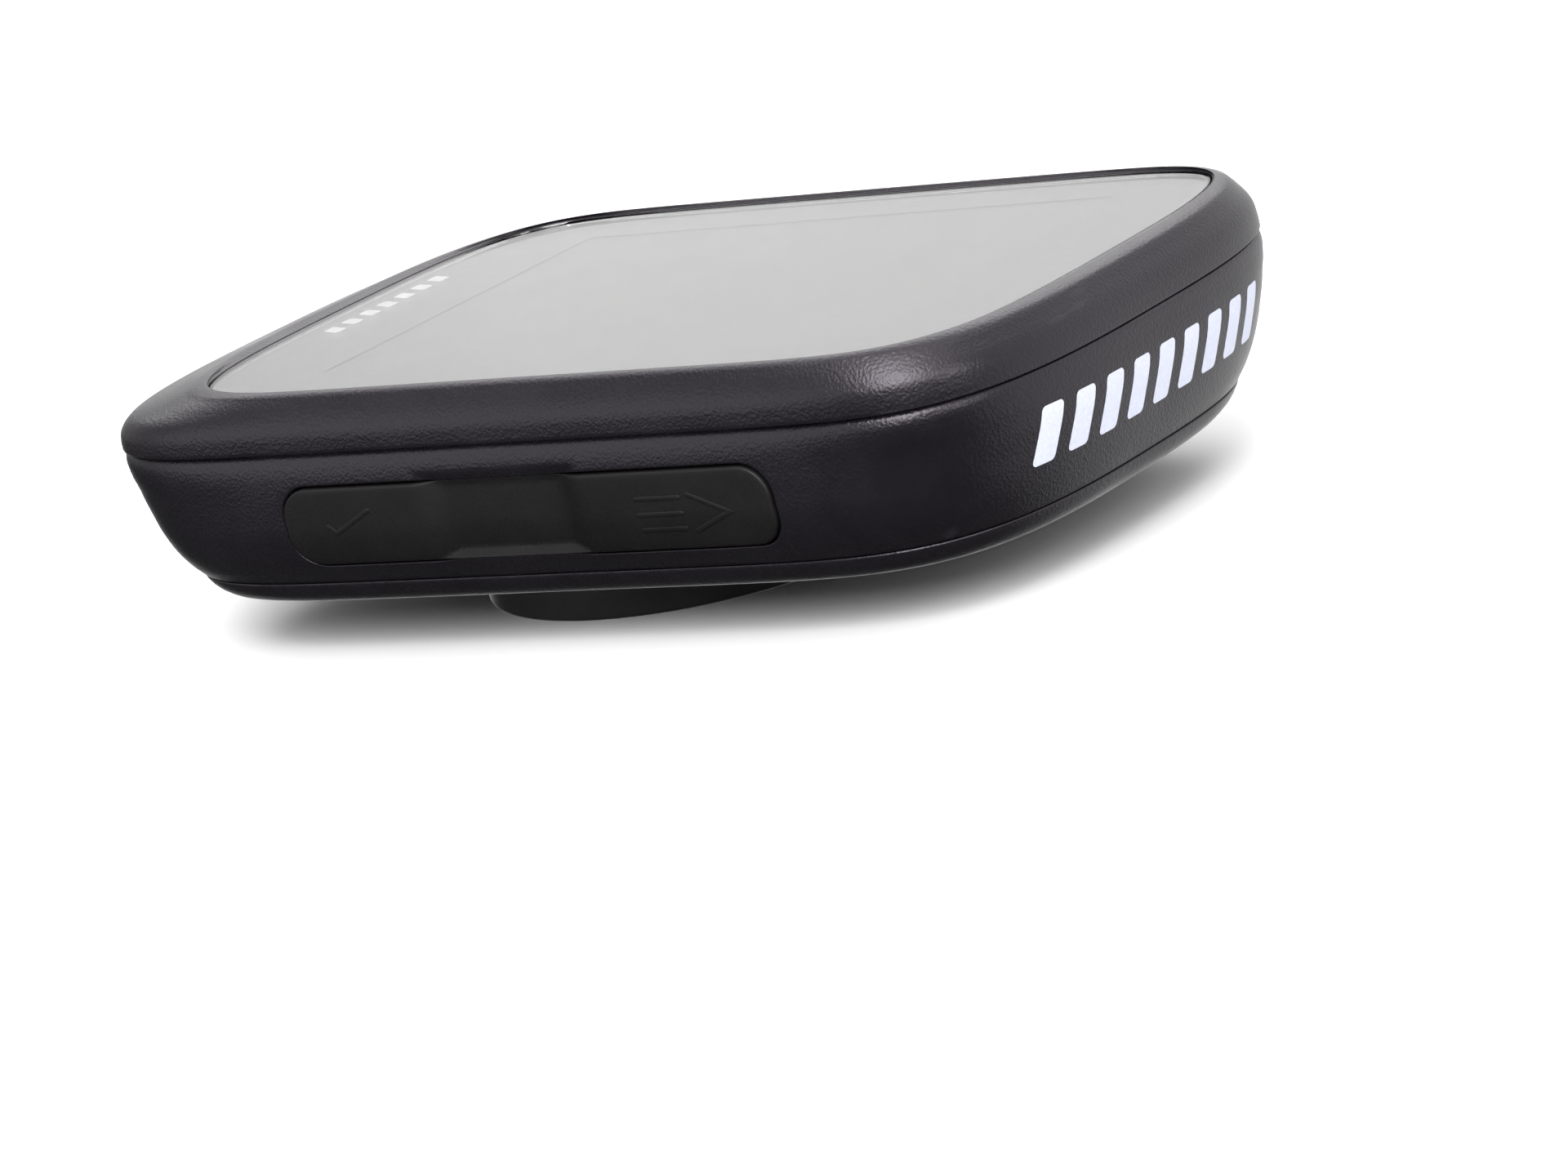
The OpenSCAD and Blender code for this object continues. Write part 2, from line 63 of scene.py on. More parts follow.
# Sizes shared with the CAD model.
CASE_Y = 2.0
HALF_W, HALF_L = 20.28, 31.37
CASE_N, CASE_M = 2.9, 7.2
LOW_SEAM, HIGH_SEAM = 4.72, 12.75
SEAM_GAP = 0.05
GLASS_A, GLASS_B, GLASS_SHIFT, GLASS_N, GLASS_M = 18.4, 26.3, 2.3, 3.1, 11.5
GLASS_Z, TOP_Z = 15.8, 16.0
INNER_A, INNER_B = 18.75, 29.6
BACK_Z, FLOOR_Z = 3.3, 4.6
KEY_Z, KEY_H, KEY_CORNER = 8.45, 4.6, 1.8
NECK_R, LUG_R, LUG_T, LUG_ANGLE = 12.6, 15.3, 1.6, 52
SCREWS = [(x * 12.4, CASE_Y + y * 22.4) for x in (-1, 1) for y in (-1, 1)]
SOCKET_Y = -19.2
HINGE_Y, HINGE_Z = -22.45, 3.65
PEG_Y = -23.4  # the flap's peg


# ---- curves and outlines ----


def smooth(t):
    t = np.clip(t, 0, 1)
    return t * t * (3 - 2 * t)


def monotone(xs, ys, x):
    """Cubic through (xs, ys) that doesn't overshoot."""
    xs, ys, x = (np.asarray(q, float) for q in (xs, ys, x))
    h, slope = np.diff(xs), np.diff(ys) / np.diff(xs)
    d = np.zeros(len(xs))
    d[0], d[-1] = slope[0], slope[-1]
    for i in range(1, len(xs) - 1):
        if slope[i - 1] * slope[i] > 0:
            w1, w2 = 2 * h[i] + h[i - 1], h[i] + 2 * h[i - 1]
            d[i] = (w1 + w2) / (w1 / slope[i - 1] + w2 / slope[i])
    k = np.clip(np.searchsorted(xs, x) - 1, 0, len(xs) - 2)
    t = (x - xs[k]) / h[k]
    return (
        ys[k] * (1 + 2 * t) * (1 - t) ** 2
        + d[k] * h[k] * t * (1 - t) ** 2
        + ys[k + 1] * t * t * (3 - 2 * t)
        + d[k + 1] * h[k] * t * t * (t - 1)
    )


def outline(a, b, shift=0.0, n=CASE_N, m=CASE_M):
    """Points of |x/a|^n + |y/b|^m = 1 about (0, CASE_Y + shift), even along each quarter, from (a, 0)."""
    y = np.linspace(0, b * 0.5 ** (1 / m), 700)
    x = np.linspace(a * 0.5 ** (1 / n), 0, 700)
    side = np.stack([a * (1 - (y / b) ** m) ** (1 / n), y], 1)
    end = np.stack([x, b * (1 - (x / a) ** n) ** (1 / m)], 1)
    dense = np.concatenate([side, end[1:]])
    run = np.concatenate([[0], np.cumsum(np.linalg.norm(np.diff(dense, axis=0), axis=1))])
    at = np.linspace(0, run[-1], AROUND + 1)
    q = np.stack([np.interp(at, run, dense[:, 0]), np.interp(at, run, dense[:, 1])], 1)
    back = q[::-1]
    loop = np.concatenate(
        [q[:-1], (back * [-1, 1])[:-1], (q * [-1, -1])[:-1], (back * [1, -1])[:-1]]
    )
    return loop + [0, CASE_Y + shift]


def at_z(z):
    return lambda flat: np.column_stack([flat, np.full(len(flat), z)])


def level(row):
    """The outline of a row (z, a, b, shift, n, m) as points in space."""
    return at_z(row[0])(outline(*row[1:]))


def circle(x, y, r, count):
    t = np.linspace(0, 2 * math.pi, count, endpoint=False)
    return np.stack([x + r * np.cos(t), y + r * np.sin(t)], 1)


def rounded_rect(u0, u1, v0, v1, r, step=0.25):
    """Closed loop, counter-clockwise. r is one radius, or one for each end (at u0, at u1)."""
    r0, r1 = (r, r) if np.isscalar(r) else r
    points = []
    corners = [(u1 - r1, v0 + r1, r1, -90), (u1 - r1, v1 - r1, r1, 0),
               (u0 + r0, v1 - r0, r0, 90), (u0 + r0, v0 + r0, r0, 180)]
    for i, (cu, cv, cr, start) in enumerate(corners):
        turns = max(4, int(math.ceil(cr * math.pi / 2 / min(step, cr / 3))))
        for k in range(turns + 1):
            t = math.radians(start + 90 * k / turns)
            points.append((cu + cr * math.cos(t), cv + cr * math.sin(t)))
        nu, nv, nr, nstart = corners[(i + 1) % 4]
        t = math.radians(nstart)
        target = np.array((nu + nr * math.cos(t), nv + nr * math.sin(t)))
        last = np.array(points[-1])
        count = max(1, int(round(np.linalg.norm(target - last) / step)))
        points += [tuple(last + (target - last) * k / count) for k in range(1, count)]
    return np.array(points)


def loop_normals(loop):
    """Unit normals that point out of a counter-clockwise loop."""
    along = np.roll(loop, -1, 0) - np.roll(loop, 1, 0)
    out = np.stack([along[:, 1], -along[:, 0]], 1)
    return out / np.linalg.norm(out, axis=1)[:, None]


def grow(loop, d):
    return loop + loop_normals(loop) * np.asarray(d).reshape(-1, 1)


def inside(loop, points):
    """Which points are inside a closed loop."""
    p, q = loop, np.roll(loop, -1, 0)
    x, y = points[:, 0][:, None], points[:, 1][:, None]
    crosses = (p[:, 1] > y) != (q[:, 1] > y)
    with np.errstate(divide="ignore", invalid="ignore"):
        at = p[:, 0] + (y - p[:, 1]) * (q[:, 0] - p[:, 0]) / (q[:, 1] - p[:, 1])
    return (crosses & (x < at)).sum(1) % 2 == 1


def scatter(outer, holes, spacing):
    """Even points inside outer and outside the holes, and clear of both."""
    lo, hi = outer.min(0), outer.max(0)
    rows = np.arange(lo[1] + spacing / 2, hi[1], spacing * 0.87)
    points = np.array([
        (u, v)
        for i, v in enumerate(rows)
        for u in np.arange(lo[0] + spacing * (0.25 + 0.5 * (i % 2)), hi[0], spacing)
    ]).reshape(-1, 2)
    keep = inside(outer, points)
    for hole in holes:
        keep &= ~inside(hole, points)
    edge = np.concatenate([outer, *holes])
    points = points[keep]
    near = np.array([np.min(((edge - p) ** 2).sum(1)) for p in points])
    return points[near > (0.6 * spacing) ** 2]


# ---- meshes ----


class Solid:
    """Collects points and faces in millimetres, then makes one closed object of them."""

    def __init__(self):
        self.points, self.faces = [], []

    def add(self, points):
        start = len(self.points)
        self.points.extend(tuple(float(c) for c in p) for p in points)
        return np.arange(start, start + len(points))

    def join(self, a, b):
        """Quads between two loops of the same length."""
        for i in range(len(a)):
            j = (i + 1) % len(a)
            self.faces.append((a[i], a[j], b[j], b[i]))

    def loft(self, loops, closed=False):
        """Joins each loop to the next, and the last to the first if closed. Returns the loops' indices."""
        rings = [self.add(loop) for loop in loops]
        for a, b in zip(rings, rings[1:]):
            self.join(a, b)
        if closed:
            self.join(rings[-1], rings[0])
        return rings

    def cap(self, ring):
        self.faces.append(tuple(ring))

    def fill(self, outer, holes, spacing, place, extra=()):
        """Triangles between a flat outer loop and its holes. place turns (count, 2) flat points into space,
        and extra are more flat points to pass through."""
        outer, *holes = (np.float32(loop).astype(float) for loop in (outer, *holes))
        grid = scatter(outer, holes, spacing)
        points, edges = [], []
        for loop in (outer, *holes):
            start, count = len(points), len(loop)
            points += list(loop)
            edges += [(start + i, start + (i + 1) % count) for i in range(count)]
        for more in (grid, *extra):
            points += list(more)
        made = delaunay_2d_cdt([Vector((float(p[0]), float(p[1]))) for p in points], edges, [], 0, 1e-5)
        flat = np.array([tuple(p) for p in made[0]])
        faces = np.array([f for f in made[2] if len(f) == 3])
        middle = flat[faces].mean(1)
        keep = inside(outer, middle)
        for hole in holes:
            keep &= ~inside(hole, middle)
        ids = self.add(place(flat))
        self.faces += [tuple(ids[f]) for f in faces[keep]]

    def make(self, name, angle=38):
        mesh = bpy.data.meshes.new(name)
        faces = [tuple(int(i) for i in f) for f in self.faces]
        mesh.from_pydata((np.array(self.points) * MM).tolist(), [], faces)
        work = bmesh.new()
        work.from_mesh(mesh)
        bmesh.ops.remove_doubles(work, verts=work.verts, dist=1.5e-6)
        bmesh.ops.dissolve_degenerate(work, edges=work.edges, dist=1e-7)
        loose = [v for v in work.verts if not v.link_faces]
        bmesh.ops.delete(work, geom=loose, context="VERTS")
        bmesh.ops.recalc_face_normals(work, faces=work.faces)
        write_mesh(work, mesh)
        mesh.shade_smooth()
        mesh.set_sharp_from_angle(angle=math.radians(angle))
        made = bpy.data.objects.new(name, mesh)
        bpy.context.scene.collection.objects.link(made)
        return made


def write_mesh(work, mesh):
    """Puts the work mesh into mesh, and says so if it isn't closed."""
    open_edges = sum(1 for e in work.edges if len(e.link_faces) != 2)
    if open_edges:
        print(f"MESH {mesh.name}: {open_edges} open edges")
    work.to_mesh(mesh)
    work.free()


def finish_piece(made, body, slot, material, *replaced):
    made.data.materials.clear()
    made.data.materials.append(material)
    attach(made, body)
    if replaced:
        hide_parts(*replaced)


def fillet(r, steps=5):
    """(distance back from the edge, drop) round a quarter circle, from the flat to the wall."""
    t = np.linspace(0, math.pi / 2, steps + 1)
    return list(zip(r * (1 - np.sin(t)), r * (1 - np.cos(t))))


# ---- materials ----


def new_material(name, color, roughness, **sockets):
    m = bpy.data.materials.new(name)
    m.use_nodes = True
    shader = m.node_tree.nodes["Principled BSDF"]
    shader.inputs["Base Color"].default_value = (*color, 1)
    shader.inputs["Roughness"].default_value = roughness
    for key, value in sockets.items():
        shader.inputs[key.replace("_", " ")].default_value = value
    return m, m.node_tree, shader


def node(tree, kind, **values):
    made = tree.nodes.new(kind)
    for key, value in values.items():
        if key in made.inputs:
            made.inputs[key].default_value = value
        else:
            setattr(made, key, value)
    return made


def link(tree, a, out, b, into):
    tree.links.new(a.outputs[out], b.inputs[into])


def texture(tree, kind, where, out="Object", **values):
    """A node that reads its place from another node's output."""
    made = node(tree, kind, **values)
    link(tree, where, out, made, "Vector")
    return made


def bump(tree, height, out, shader, strength, distance):
    made = node(tree, "ShaderNodeBump", Strength=strength, Distance=distance * MM)
    link(tree, height, out, made, "Height")
    link(tree, made, "Normal", shader, "Normal")


def ramp(tree, a, out, low, high, to_low, to_high):
    """Maps a socket's range low..high to to_low..to_high."""
    made = node(tree, "ShaderNodeMapRange")
    link(tree, a, out, made, "Value")
    for key, value in (("From Min", low), ("From Max", high), ("To Min", to_low), ("To Max", to_high)):
        made.inputs[key].default_value = value
    return made


def mix(tree, factor, out, dark, light):
    made = node(tree, "ShaderNodeMix", data_type="RGBA")
    link(tree, factor, out, made, "Factor")
    made.inputs[6].default_value = (*dark, 1)
    made.inputs[7].default_value = (*light, 1)
    return made


def grained(name, dark, light, roughness, grain, depth, wear=0.0, **sockets):
    """Moulded plastic or rubber: a fine leather grain, slow changes of gloss and colour, and worn edges."""
    m, tree, shader = new_material(name, dark, roughness, **sockets)
    where = node(tree, "ShaderNodeTexCoord")
    bend = texture(tree, "ShaderNodeTexNoise", where, Scale=grain * 0.35, Detail=2.0)
    push = node(tree, "ShaderNodeVectorMath", operation="MULTIPLY_ADD")
    link(tree, bend, "Color", push, 0)
    push.inputs[1].default_value = (0.9 / grain,) * 3
    link(tree, where, "Object", push, 2)
    cells = texture(tree, "ShaderNodeTexVoronoi", push, "Vector", Scale=grain, feature="SMOOTH_F1",
                    Smoothness=0.6)
    fine = texture(tree, "ShaderNodeTexNoise", push, "Vector", Scale=grain * 1.7, Detail=3.0, Roughness=0.6)
    height = node(tree, "ShaderNodeMath", operation="MULTIPLY_ADD")
    link(tree, fine, "Fac", height, 0)
    height.inputs[1].default_value = 0.55
    link(tree, cells, "Distance", height, 2)
    bump(tree, height, "Value", shader, 1.0, depth)
    slow = texture(tree, "ShaderNodeTexNoise", where, Scale=220.0, Detail=4.0, Roughness=0.55)
    shade = mix(tree, ramp(tree, slow, "Fac", 0.3, 0.7, 0.0, 1.0), "Result", dark, light)
    if wear:
        shape = node(tree, "ShaderNodeNewGeometry")
        edge = ramp(tree, shape, "Pointiness", 0.53, 0.6, 0.0, wear)
        scuffed = mix(tree, edge, "Result", dark, [min(1, c * 3 + 0.03) for c in light])
        link(tree, shade, 2, scuffed, 6)
        shade = scuffed
    link(tree, shade, 2, shader, "Base Color")
    gloss = ramp(tree, slow, "Fac", 0.25, 0.75, roughness - 0.04, roughness + 0.05)
    link(tree, gloss, "Result", shader, "Roughness")
    return m


def speckled(name, dark, light, roughness, scale, metallic=0.0, depth=0.0, stretch=(1, 1, 1), **sockets):
    """A plain finish with fine variation of colour, gloss and, with depth, height."""
    m, tree, shader = new_material(name, dark, roughness, Metallic=metallic, **sockets)
    where = node(tree, "ShaderNodeTexCoord")
    turned = texture(tree, "ShaderNodeMapping", where, Scale=stretch)
    noise = texture(tree, "ShaderNodeTexNoise", turned, "Vector", Scale=scale, Detail=4.0, Roughness=0.6)
    shade = mix(tree, ramp(tree, noise, "Fac", 0.3, 0.7, 0.0, 1.0), "Result", dark, light)
    link(tree, shade, 2, shader, "Base Color")
    gloss = ramp(tree, noise, "Fac", 0.3, 0.7, max(0.03, roughness - 0.06), roughness + 0.06)
    link(tree, gloss, "Result", shader, "Roughness")
    if depth:
        bump(tree, noise, "Fac", shader, 1.0, depth)
    return m


CASE_BLACK = (0.0042, 0.0036, 0.0050), (0.0062, 0.0054, 0.0072)
CASE_GRAIN = {"grain": 5600, "depth": 0.019, "wear": 0.12}
PURPLE = (0.97, 0.9, 1.0, 1)  # the black plastic's highlights are slightly purple
case_plastic = grained("case_plastic", *CASE_BLACK, 0.33, **CASE_GRAIN, Specular_Tint=PURPLE)
cover_plastic = grained("cover_plastic", *CASE_BLACK, 0.36, **CASE_GRAIN, Specular_Tint=PURPLE)
key_rubber = grained("key_rubber", (0.0045, 0.0042, 0.0046), (0.006, 0.0056, 0.0061), 0.5, 9500, 0.0045,
                     Specular_IOR_Level=0.25)
flap_rubber = grained("flap_rubber", (0.011, 0.011, 0.012), (0.016, 0.016, 0.017), 0.62, 9500, 0.004)
mount_plastic = grained("mount_plastic", (0.010, 0.010, 0.011), (0.015, 0.015, 0.016), 0.38, 5200, 0.004,
                         wear=0.25)
print_white = speckled("print_white", (0.44, 0.46, 0.55), (0.52, 0.54, 0.64), 0.5, 5000)
print_black = speckled("print_black", (0.010, 0.010, 0.011), (0.014, 0.014, 0.015), 0.4, 900)
print_faint = speckled("print_faint", (0.72, 0.73, 0.74), (0.8, 0.8, 0.8), 0.45, 3000)
display_film = speckled("display_film", (0.017, 0.018, 0.017), (0.021, 0.022, 0.021), 0.4, 260)
white_plastic = speckled("white_plastic", (0.72, 0.72, 0.70), (0.8, 0.8, 0.78), 0.45, 900)
cream_plastic = speckled("cream_plastic", (0.68, 0.62, 0.48), (0.76, 0.7, 0.56), 0.45, 1200)
flex_film = speckled("flex_film", (0.42, 0.16, 0.03), (0.52, 0.22, 0.05), 0.28, 700)
gasket_rubber = speckled("gasket_rubber", (0.10, 0.02, 0.02), (0.14, 0.03, 0.03), 0.6, 1500)
adhesive = speckled("adhesive", (0.008, 0.008, 0.008), (0.013, 0.013, 0.013), 0.6, 2500)
chip_epoxy = speckled("chip_epoxy", (0.012, 0.012, 0.014), (0.02, 0.02, 0.022), 0.5, 6000, depth=0.004)
tin_steel = speckled("tin_steel", (0.52, 0.53, 0.55), (0.66, 0.67, 0.69), 0.28, 1800, metallic=1.0,
                     depth=0.002, stretch=(1, 9, 1))
screw_metal = speckled("screw_metal", (0.06, 0.06, 0.065), (0.10, 0.10, 0.105), 0.34, 4000, metallic=1.0,
                       depth=0.003)
antenna_ceramic = speckled("antenna_ceramic", (0.52, 0.44, 0.30), (0.6, 0.52, 0.38), 0.55, 3500, depth=0.002)
cell_foil = speckled("cell_foil", (0.42, 0.43, 0.46), (0.52, 0.53, 0.56), 0.33, 500, metallic=1.0, depth=0.01)
tape_foam = speckled("tape_foam", (0.68, 0.6, 0.36), (0.75, 0.68, 0.44), 0.8, 2500, depth=0.01)
lead_red = speckled("lead_red", (0.36, 0.02, 0.015), (0.44, 0.03, 0.02), 0.45, 1500)
lead_black = speckled("lead_black", (0.012, 0.012, 0.012), (0.02, 0.02, 0.02), 0.45, 1500)


def board_material():
    """Green solder mask with paler tracks."""
    m, tree, shader = new_material("board_mask", (0.01, 0.09, 0.04), 0.35)
    where = node(tree, "ShaderNodeTexCoord")
    tracks = texture(tree, "ShaderNodeTexBrick", where, Scale=900.0)
    tracks.inputs["Color1"].default_value = (0.012, 0.11, 0.05, 1)
    tracks.inputs["Color2"].default_value = (0.010, 0.09, 0.04, 1)
    tracks.inputs["Mortar"].default_value = (0.03, 0.2, 0.1, 1)
    tracks.inputs["Mortar Size"].default_value = 0.02
    link(tree, tracks, "Color", shader, "Base Color")
    bump(tree, tracks, "Fac", shader, 0.6, 0.01)
    return m


def glass_material():
    """Clear cover glass with a faint anti-glare grain and wiped dust."""
    m, tree, shader = new_material("cover_glass", (1, 1, 1), 0.03, Transmission_Weight=1.0, IOR=1.52)
    where = node(tree, "ShaderNodeTexCoord")
    smear = texture(tree, "ShaderNodeTexNoise", where, Scale=140.0, Detail=5.0, Roughness=0.65)
    gloss = ramp(tree, smear, "Fac", 0.4, 0.75, 0.02, 0.07)
    link(tree, gloss, "Result", shader, "Roughness")
    return m


cover_glass = glass_material()
board_mask = board_material()


# ---- skin of the middle frame ----

FRAME_ROWS = np.array([  # made from z, insets from the half width and the half length, and what CASE_M gains
    (z, HALF_W - w, HALF_L - l, CASE_N, CASE_M + sharper)
    for z, w, l, sharper in (
        (LOW_SEAM + SEAM_GAP, 1.68, 2.28, 0), (5.6, 1, 1.8, 0), (6.8, 0.37, 1.25, 0), (8.4, 0.04, 0.65, 0),
        (10.2, 0, 0.12, 0.2), (11.35, 0.06, 0, 1.0), (12.25, 0.24, 0, 1.6),
        (HIGH_SEAM - SEAM_GAP, 0.42, 0.04, 1.6),
    )
])
PROUD = 0.14  # keys above the frame
SCOOP = 0.5  # depth of the hollow between two keys


def frame_shape(z):
    """Half width, half length and exponents of the frame's outline at z."""
    return [monotone(FRAME_ROWS[:, 0], FRAME_ROWS[:, k], z) for k in range(1, 5)]


def side_skin(y, z):
    """How far out the right side is at (y, z)."""
    a, b, n, m = frame_shape(z)
    return a * (1 - np.abs((np.asarray(y) - CASE_Y) / b) ** m) ** (1 / n)


def end_skin(x, z):
    """How far the rider's end is from y = 0 at (x, z)."""
    a, b, n, m = frame_shape(z)
    return b * (1 - np.abs(np.asarray(x) / a) ** n) ** (1 / m) - CASE_Y


class Strip:
    """A strip of two keys. u runs along it and v is up. frame_at(flat, drop) is the point drop in from the
    frame's skin over each flat point (u, v).
    """

    def __init__(self, kind, start, end, keys, plane):
        self.kind, self.start, self.end, self.keys, self.plane = kind, start, end, keys, plane
        before, after = (-0.1, 0.1) if kind == "end" else (-2.5, -0.7)
        self.hollow = keys[0][1] + before, keys[1][0] + after
        self.loop = rounded_rect(start, end, KEY_Z - KEY_H / 2, KEY_Z + KEY_H / 2, KEY_CORNER)

    def fade(self, u):
        """0 over the keys and 1 in the middle of the hollow."""
        u = np.asarray(u, float)
        run = min(2.2, (self.hollow[1] - self.hollow[0]) * 0.42)
        return smooth((u - self.hollow[0]) / run) * smooth((self.hollow[1] - u) / run)

    def scoop(self, u, v):
        """Depth of the hollow: a 45 degree slope below, and a soft rise above that runs on into the frame."""
        v = np.asarray(v, float)
        below = np.clip((v - (KEY_Z - KEY_H / 2 + 0.02)) / 0.5, 0, 1)
        above = smooth((KEY_Z + KEY_H / 2 + 0.7 - v) / 1.1)
        return SCOOP * np.minimum(self.fade(u), np.minimum(below, above))

    def skin(self, u, v):
        return side_skin(u, v) if self.kind != "end" else end_skin(u, v)

    def place(self, u, v, out):
        u, v, out = np.broadcast_arrays(np.asarray(u, float), np.asarray(v, float), np.asarray(out, float))
        if self.kind == "right":
            return np.column_stack([out, u, v])
        if self.kind == "left":
            return np.column_stack([-out, u, v])
        return np.column_stack([u, -out, v])

    def edge(self):
        """The gap round the pad and the radius of the frame's edge, which both shrink beside the hollow."""
        fade = self.fade(self.loop[:, 0])
        return 0.11 - 0.085 * fade, 0.15 - 0.135 * fade

    def frame_at(self, flat, drop=0.0):
        u, v = flat[:, 0], flat[:, 1]
        return self.place(u, v, self.skin(u, v) - self.scoop(u, v) - drop)

    def pad_at(self, flat, drop=0.0):
        return self.frame_at(flat, drop - PROUD * (1 - self.fade(flat[:, 0])))


side_keys = ((-13.0, -1.2), (8.6, 20.4))
end_keys = ((-11.2, -2.3), (2.3, 11.2))
right_strip = Strip("right", -12.95, 19.9, side_keys, 18.9)
left_strip = Strip("left", -12.95, 19.9, side_keys, 18.9)
end_strip = Strip("end", -11.2, 11.2, end_keys, 27.1)


# ---- middle frame ----

WINDOW_LOW, WINDOW_HIGH = 5.8, 11.85


def frame_outline(a, b, n=CASE_N, m=CASE_M):
    """A superellipse as points at fixed places beside the strips and even steps round the corners. Also gives
    the first and last point of each run beside a strip."""
    run_y, run_x = np.linspace(-15.0, 22.4, 78), np.linspace(-13.2, 13.2, 56)
    out_x = a * (1 - np.abs((run_y - CASE_Y) / b) ** m) ** (1 / n)
    out_y = b * (1 - np.abs(run_x / a) ** n) ** (1 / m)
    right = np.column_stack([out_x, run_y])
    left = right[::-1] * [-1, 1]
    front = np.column_stack([run_x[::-1], CASE_Y + out_y[::-1]])
    rear = np.column_stack([run_x, CASE_Y - out_y])

    def corner(p, q):
        """Even points on the outline between p and q, without them."""
        t0, t1 = (math.atan2((s[1] - CASE_Y) / b, s[0] / a) for s in (p, q))
        t = np.linspace(t0, t1 + 2 * math.pi if t1 < t0 else t1, 900)
        c, s = np.abs(np.cos(t)), np.abs(np.sin(t))
        low, high = np.full(len(t), 0.5), np.full(len(t), 1.5)
        for _ in range(40):
            r = (low + high) / 2
            far = (r * c) ** n + (r * s) ** m > 1
            high, low = np.where(far, r, high), np.where(far, low, r)
        dense = np.column_stack([a * r * np.cos(t), CASE_Y + b * r * np.sin(t)])
        along = np.concatenate([[0], np.cumsum(np.linalg.norm(np.diff(dense, axis=0), axis=1))])
        at = np.linspace(0, along[-1], 42)[1:-1]
        return np.column_stack([np.interp(at, along, dense[:, k]) for k in (0, 1)])

    parts = [right, corner(right[-1], front[0]), front, corner(front[-1], left[0]), left,
             corner(left[-1], rear[0]), rear, corner(rear[-1], right[0])]
    starts = np.cumsum([0] + [len(p) for p in parts])
    runs = {side: (starts[k], starts[k + 1] - 1) for side, k in (("right", 0), ("left", 4), ("end", 6))}
    return np.concatenate(parts), runs


def frame_wall(solid, levels, strips, window):
    """Rings of one side of the wall, joined, with a hole beside each strip. levels are (z, a, b, n, m), with
    or without n and m. window(strip) gives the hole's flat loop, the way to place points, and more points."""
    rings = []
    for z, *shape in levels:
        flat, runs = frame_outline(*shape)
        rings.append(solid.add(at_z(z)(flat)))
    heights = np.array([row[0] for row in levels])
    k0, k1 = sorted(int(np.argmin(np.abs(heights - z))) for z in (WINDOW_LOW, WINDOW_HIGH))
    beside = np.zeros(len(rings[0]), bool)
    for first, last in runs.values():
        beside[first:last] = True
    for k in range(len(rings) - 1):
        for i in range(len(beside)):
            if not (k0 <= k < k1 and beside[i]):
                j = (i + 1) % len(beside)
                solid.faces.append((rings[k][i], rings[k][j], rings[k + 1][j], rings[k + 1][i]))
    for strip in strips:
        i0, i1 = runs[strip.kind]
        border = [*rings[k0][i0 : i1 + 1], *(rings[k][i1] for k in range(k0 + 1, k1 + 1))]
        border += [*rings[k1][i0:i1][::-1], *(rings[k][i0] for k in range(k1 - 1, k0, -1))]
        where = np.array([solid.points[i] for i in border])
        flat = where[:, [0, 2]] if strip.kind == "end" else where[:, [1, 2]]
        if np.sum(flat[:, 0] * np.roll(flat[:, 1], -1) - flat[:, 1] * np.roll(flat[:, 0], -1)) < 0:
            flat = flat[::-1]
        hole, place, extra = window(strip)
        solid.fill(flat, [hole], 0.5, place, extra=extra)
    return rings


def build_mid_frame():
    solid = Solid()
    strips = (right_strip, left_strip, end_strip)
    low, high, r_low, r_high = LOW_SEAM + SEAM_GAP, HIGH_SEAM - SEAM_GAP, 0.07, 0.15
    below, above = (low + r_low, 4.95, 5.15, 5.4, 5.6), (12.0, 12.15, 12.3, 12.4, high - r_high)
    beside = np.linspace(WINDOW_LOW, WINDOW_HIGH, 17)
    levels = [(z, *frame_shape(z)) for z in (*below, *beside, *above)]
    outer = frame_wall(solid, levels, strips, outer_window)

    def rounded_end(start, z_edge, r, direction):
        """Rings round the edge of a seam, from the skin to the flat."""
        flat, _ = frame_outline(*frame_shape(z_edge))
        last = start
        for back, drop in fillet(r)[::-1][1:]:
            ring = solid.add(at_z(z_edge + direction * drop)(grow(flat, -back)))
            solid.join(last, ring)
            last = ring
        return last

    top = rounded_end(outer[-1], high, r_high, -1)
    bottom = rounded_end(outer[0], low, r_low, 1)
    levels = [(z, INNER_A, inner_length(z)) for z in (high, 12.3, *beside[::-1])]
    foot = 17.3, 27.7
    levels += [(5.45, *foot), (low, *foot)]
    inner = frame_wall(solid, levels, strips, inner_window)
    solid.join(top, inner[0])
    solid.join(inner[-1], bottom)
    for strip in strips:
        gap, r = strip.edge()
        rings = [strip.frame_at(grow(strip.loop, gap + back * r), drop * r) for back, drop in fillet(1.0)]
        mouth = grow(strip.loop, gap)
        solid.loft([*rings, strip.place(*mouth.T, inner_wall(strip, *mouth.T))])
    return solid.make("mid_frame_shell")


def flat_row(u0, u1, v, count):
    return np.column_stack([np.linspace(u0, u1, count), np.full(count, v)])


def outer_window(strip):
    gap, r = strip.edge()
    rows = [flat_row(strip.start - 1, strip.end + 1, v, 90) for v in (11.0, 11.15, 11.3, 11.5)]
    return grow(strip.loop, gap + r), strip.frame_at, rows


def inner_length(z):
    """Half length of the inside at z: the ends step in below, like the skin."""
    return INNER_B - 0.95 * smooth((7.9 - np.asarray(z)) / 1.9)


def inner_wall(strip, u, v):
    """How far out the inner side of the wall is beside a strip."""
    b = inner_length(v)
    if strip.kind == "end":
        return b * (1 - np.abs(u / INNER_A) ** CASE_N) ** (1 / CASE_M) - CASE_Y
    return INNER_A * (1 - np.abs((u - CASE_Y) / b) ** CASE_M) ** (1 / CASE_N)


def inner_window(strip):
    gap, _ = strip.edge()
    return grow(strip.loop, gap), lambda flat: strip.place(*flat.T, inner_wall(strip, *flat.T)), ()


# ---- key strips ----


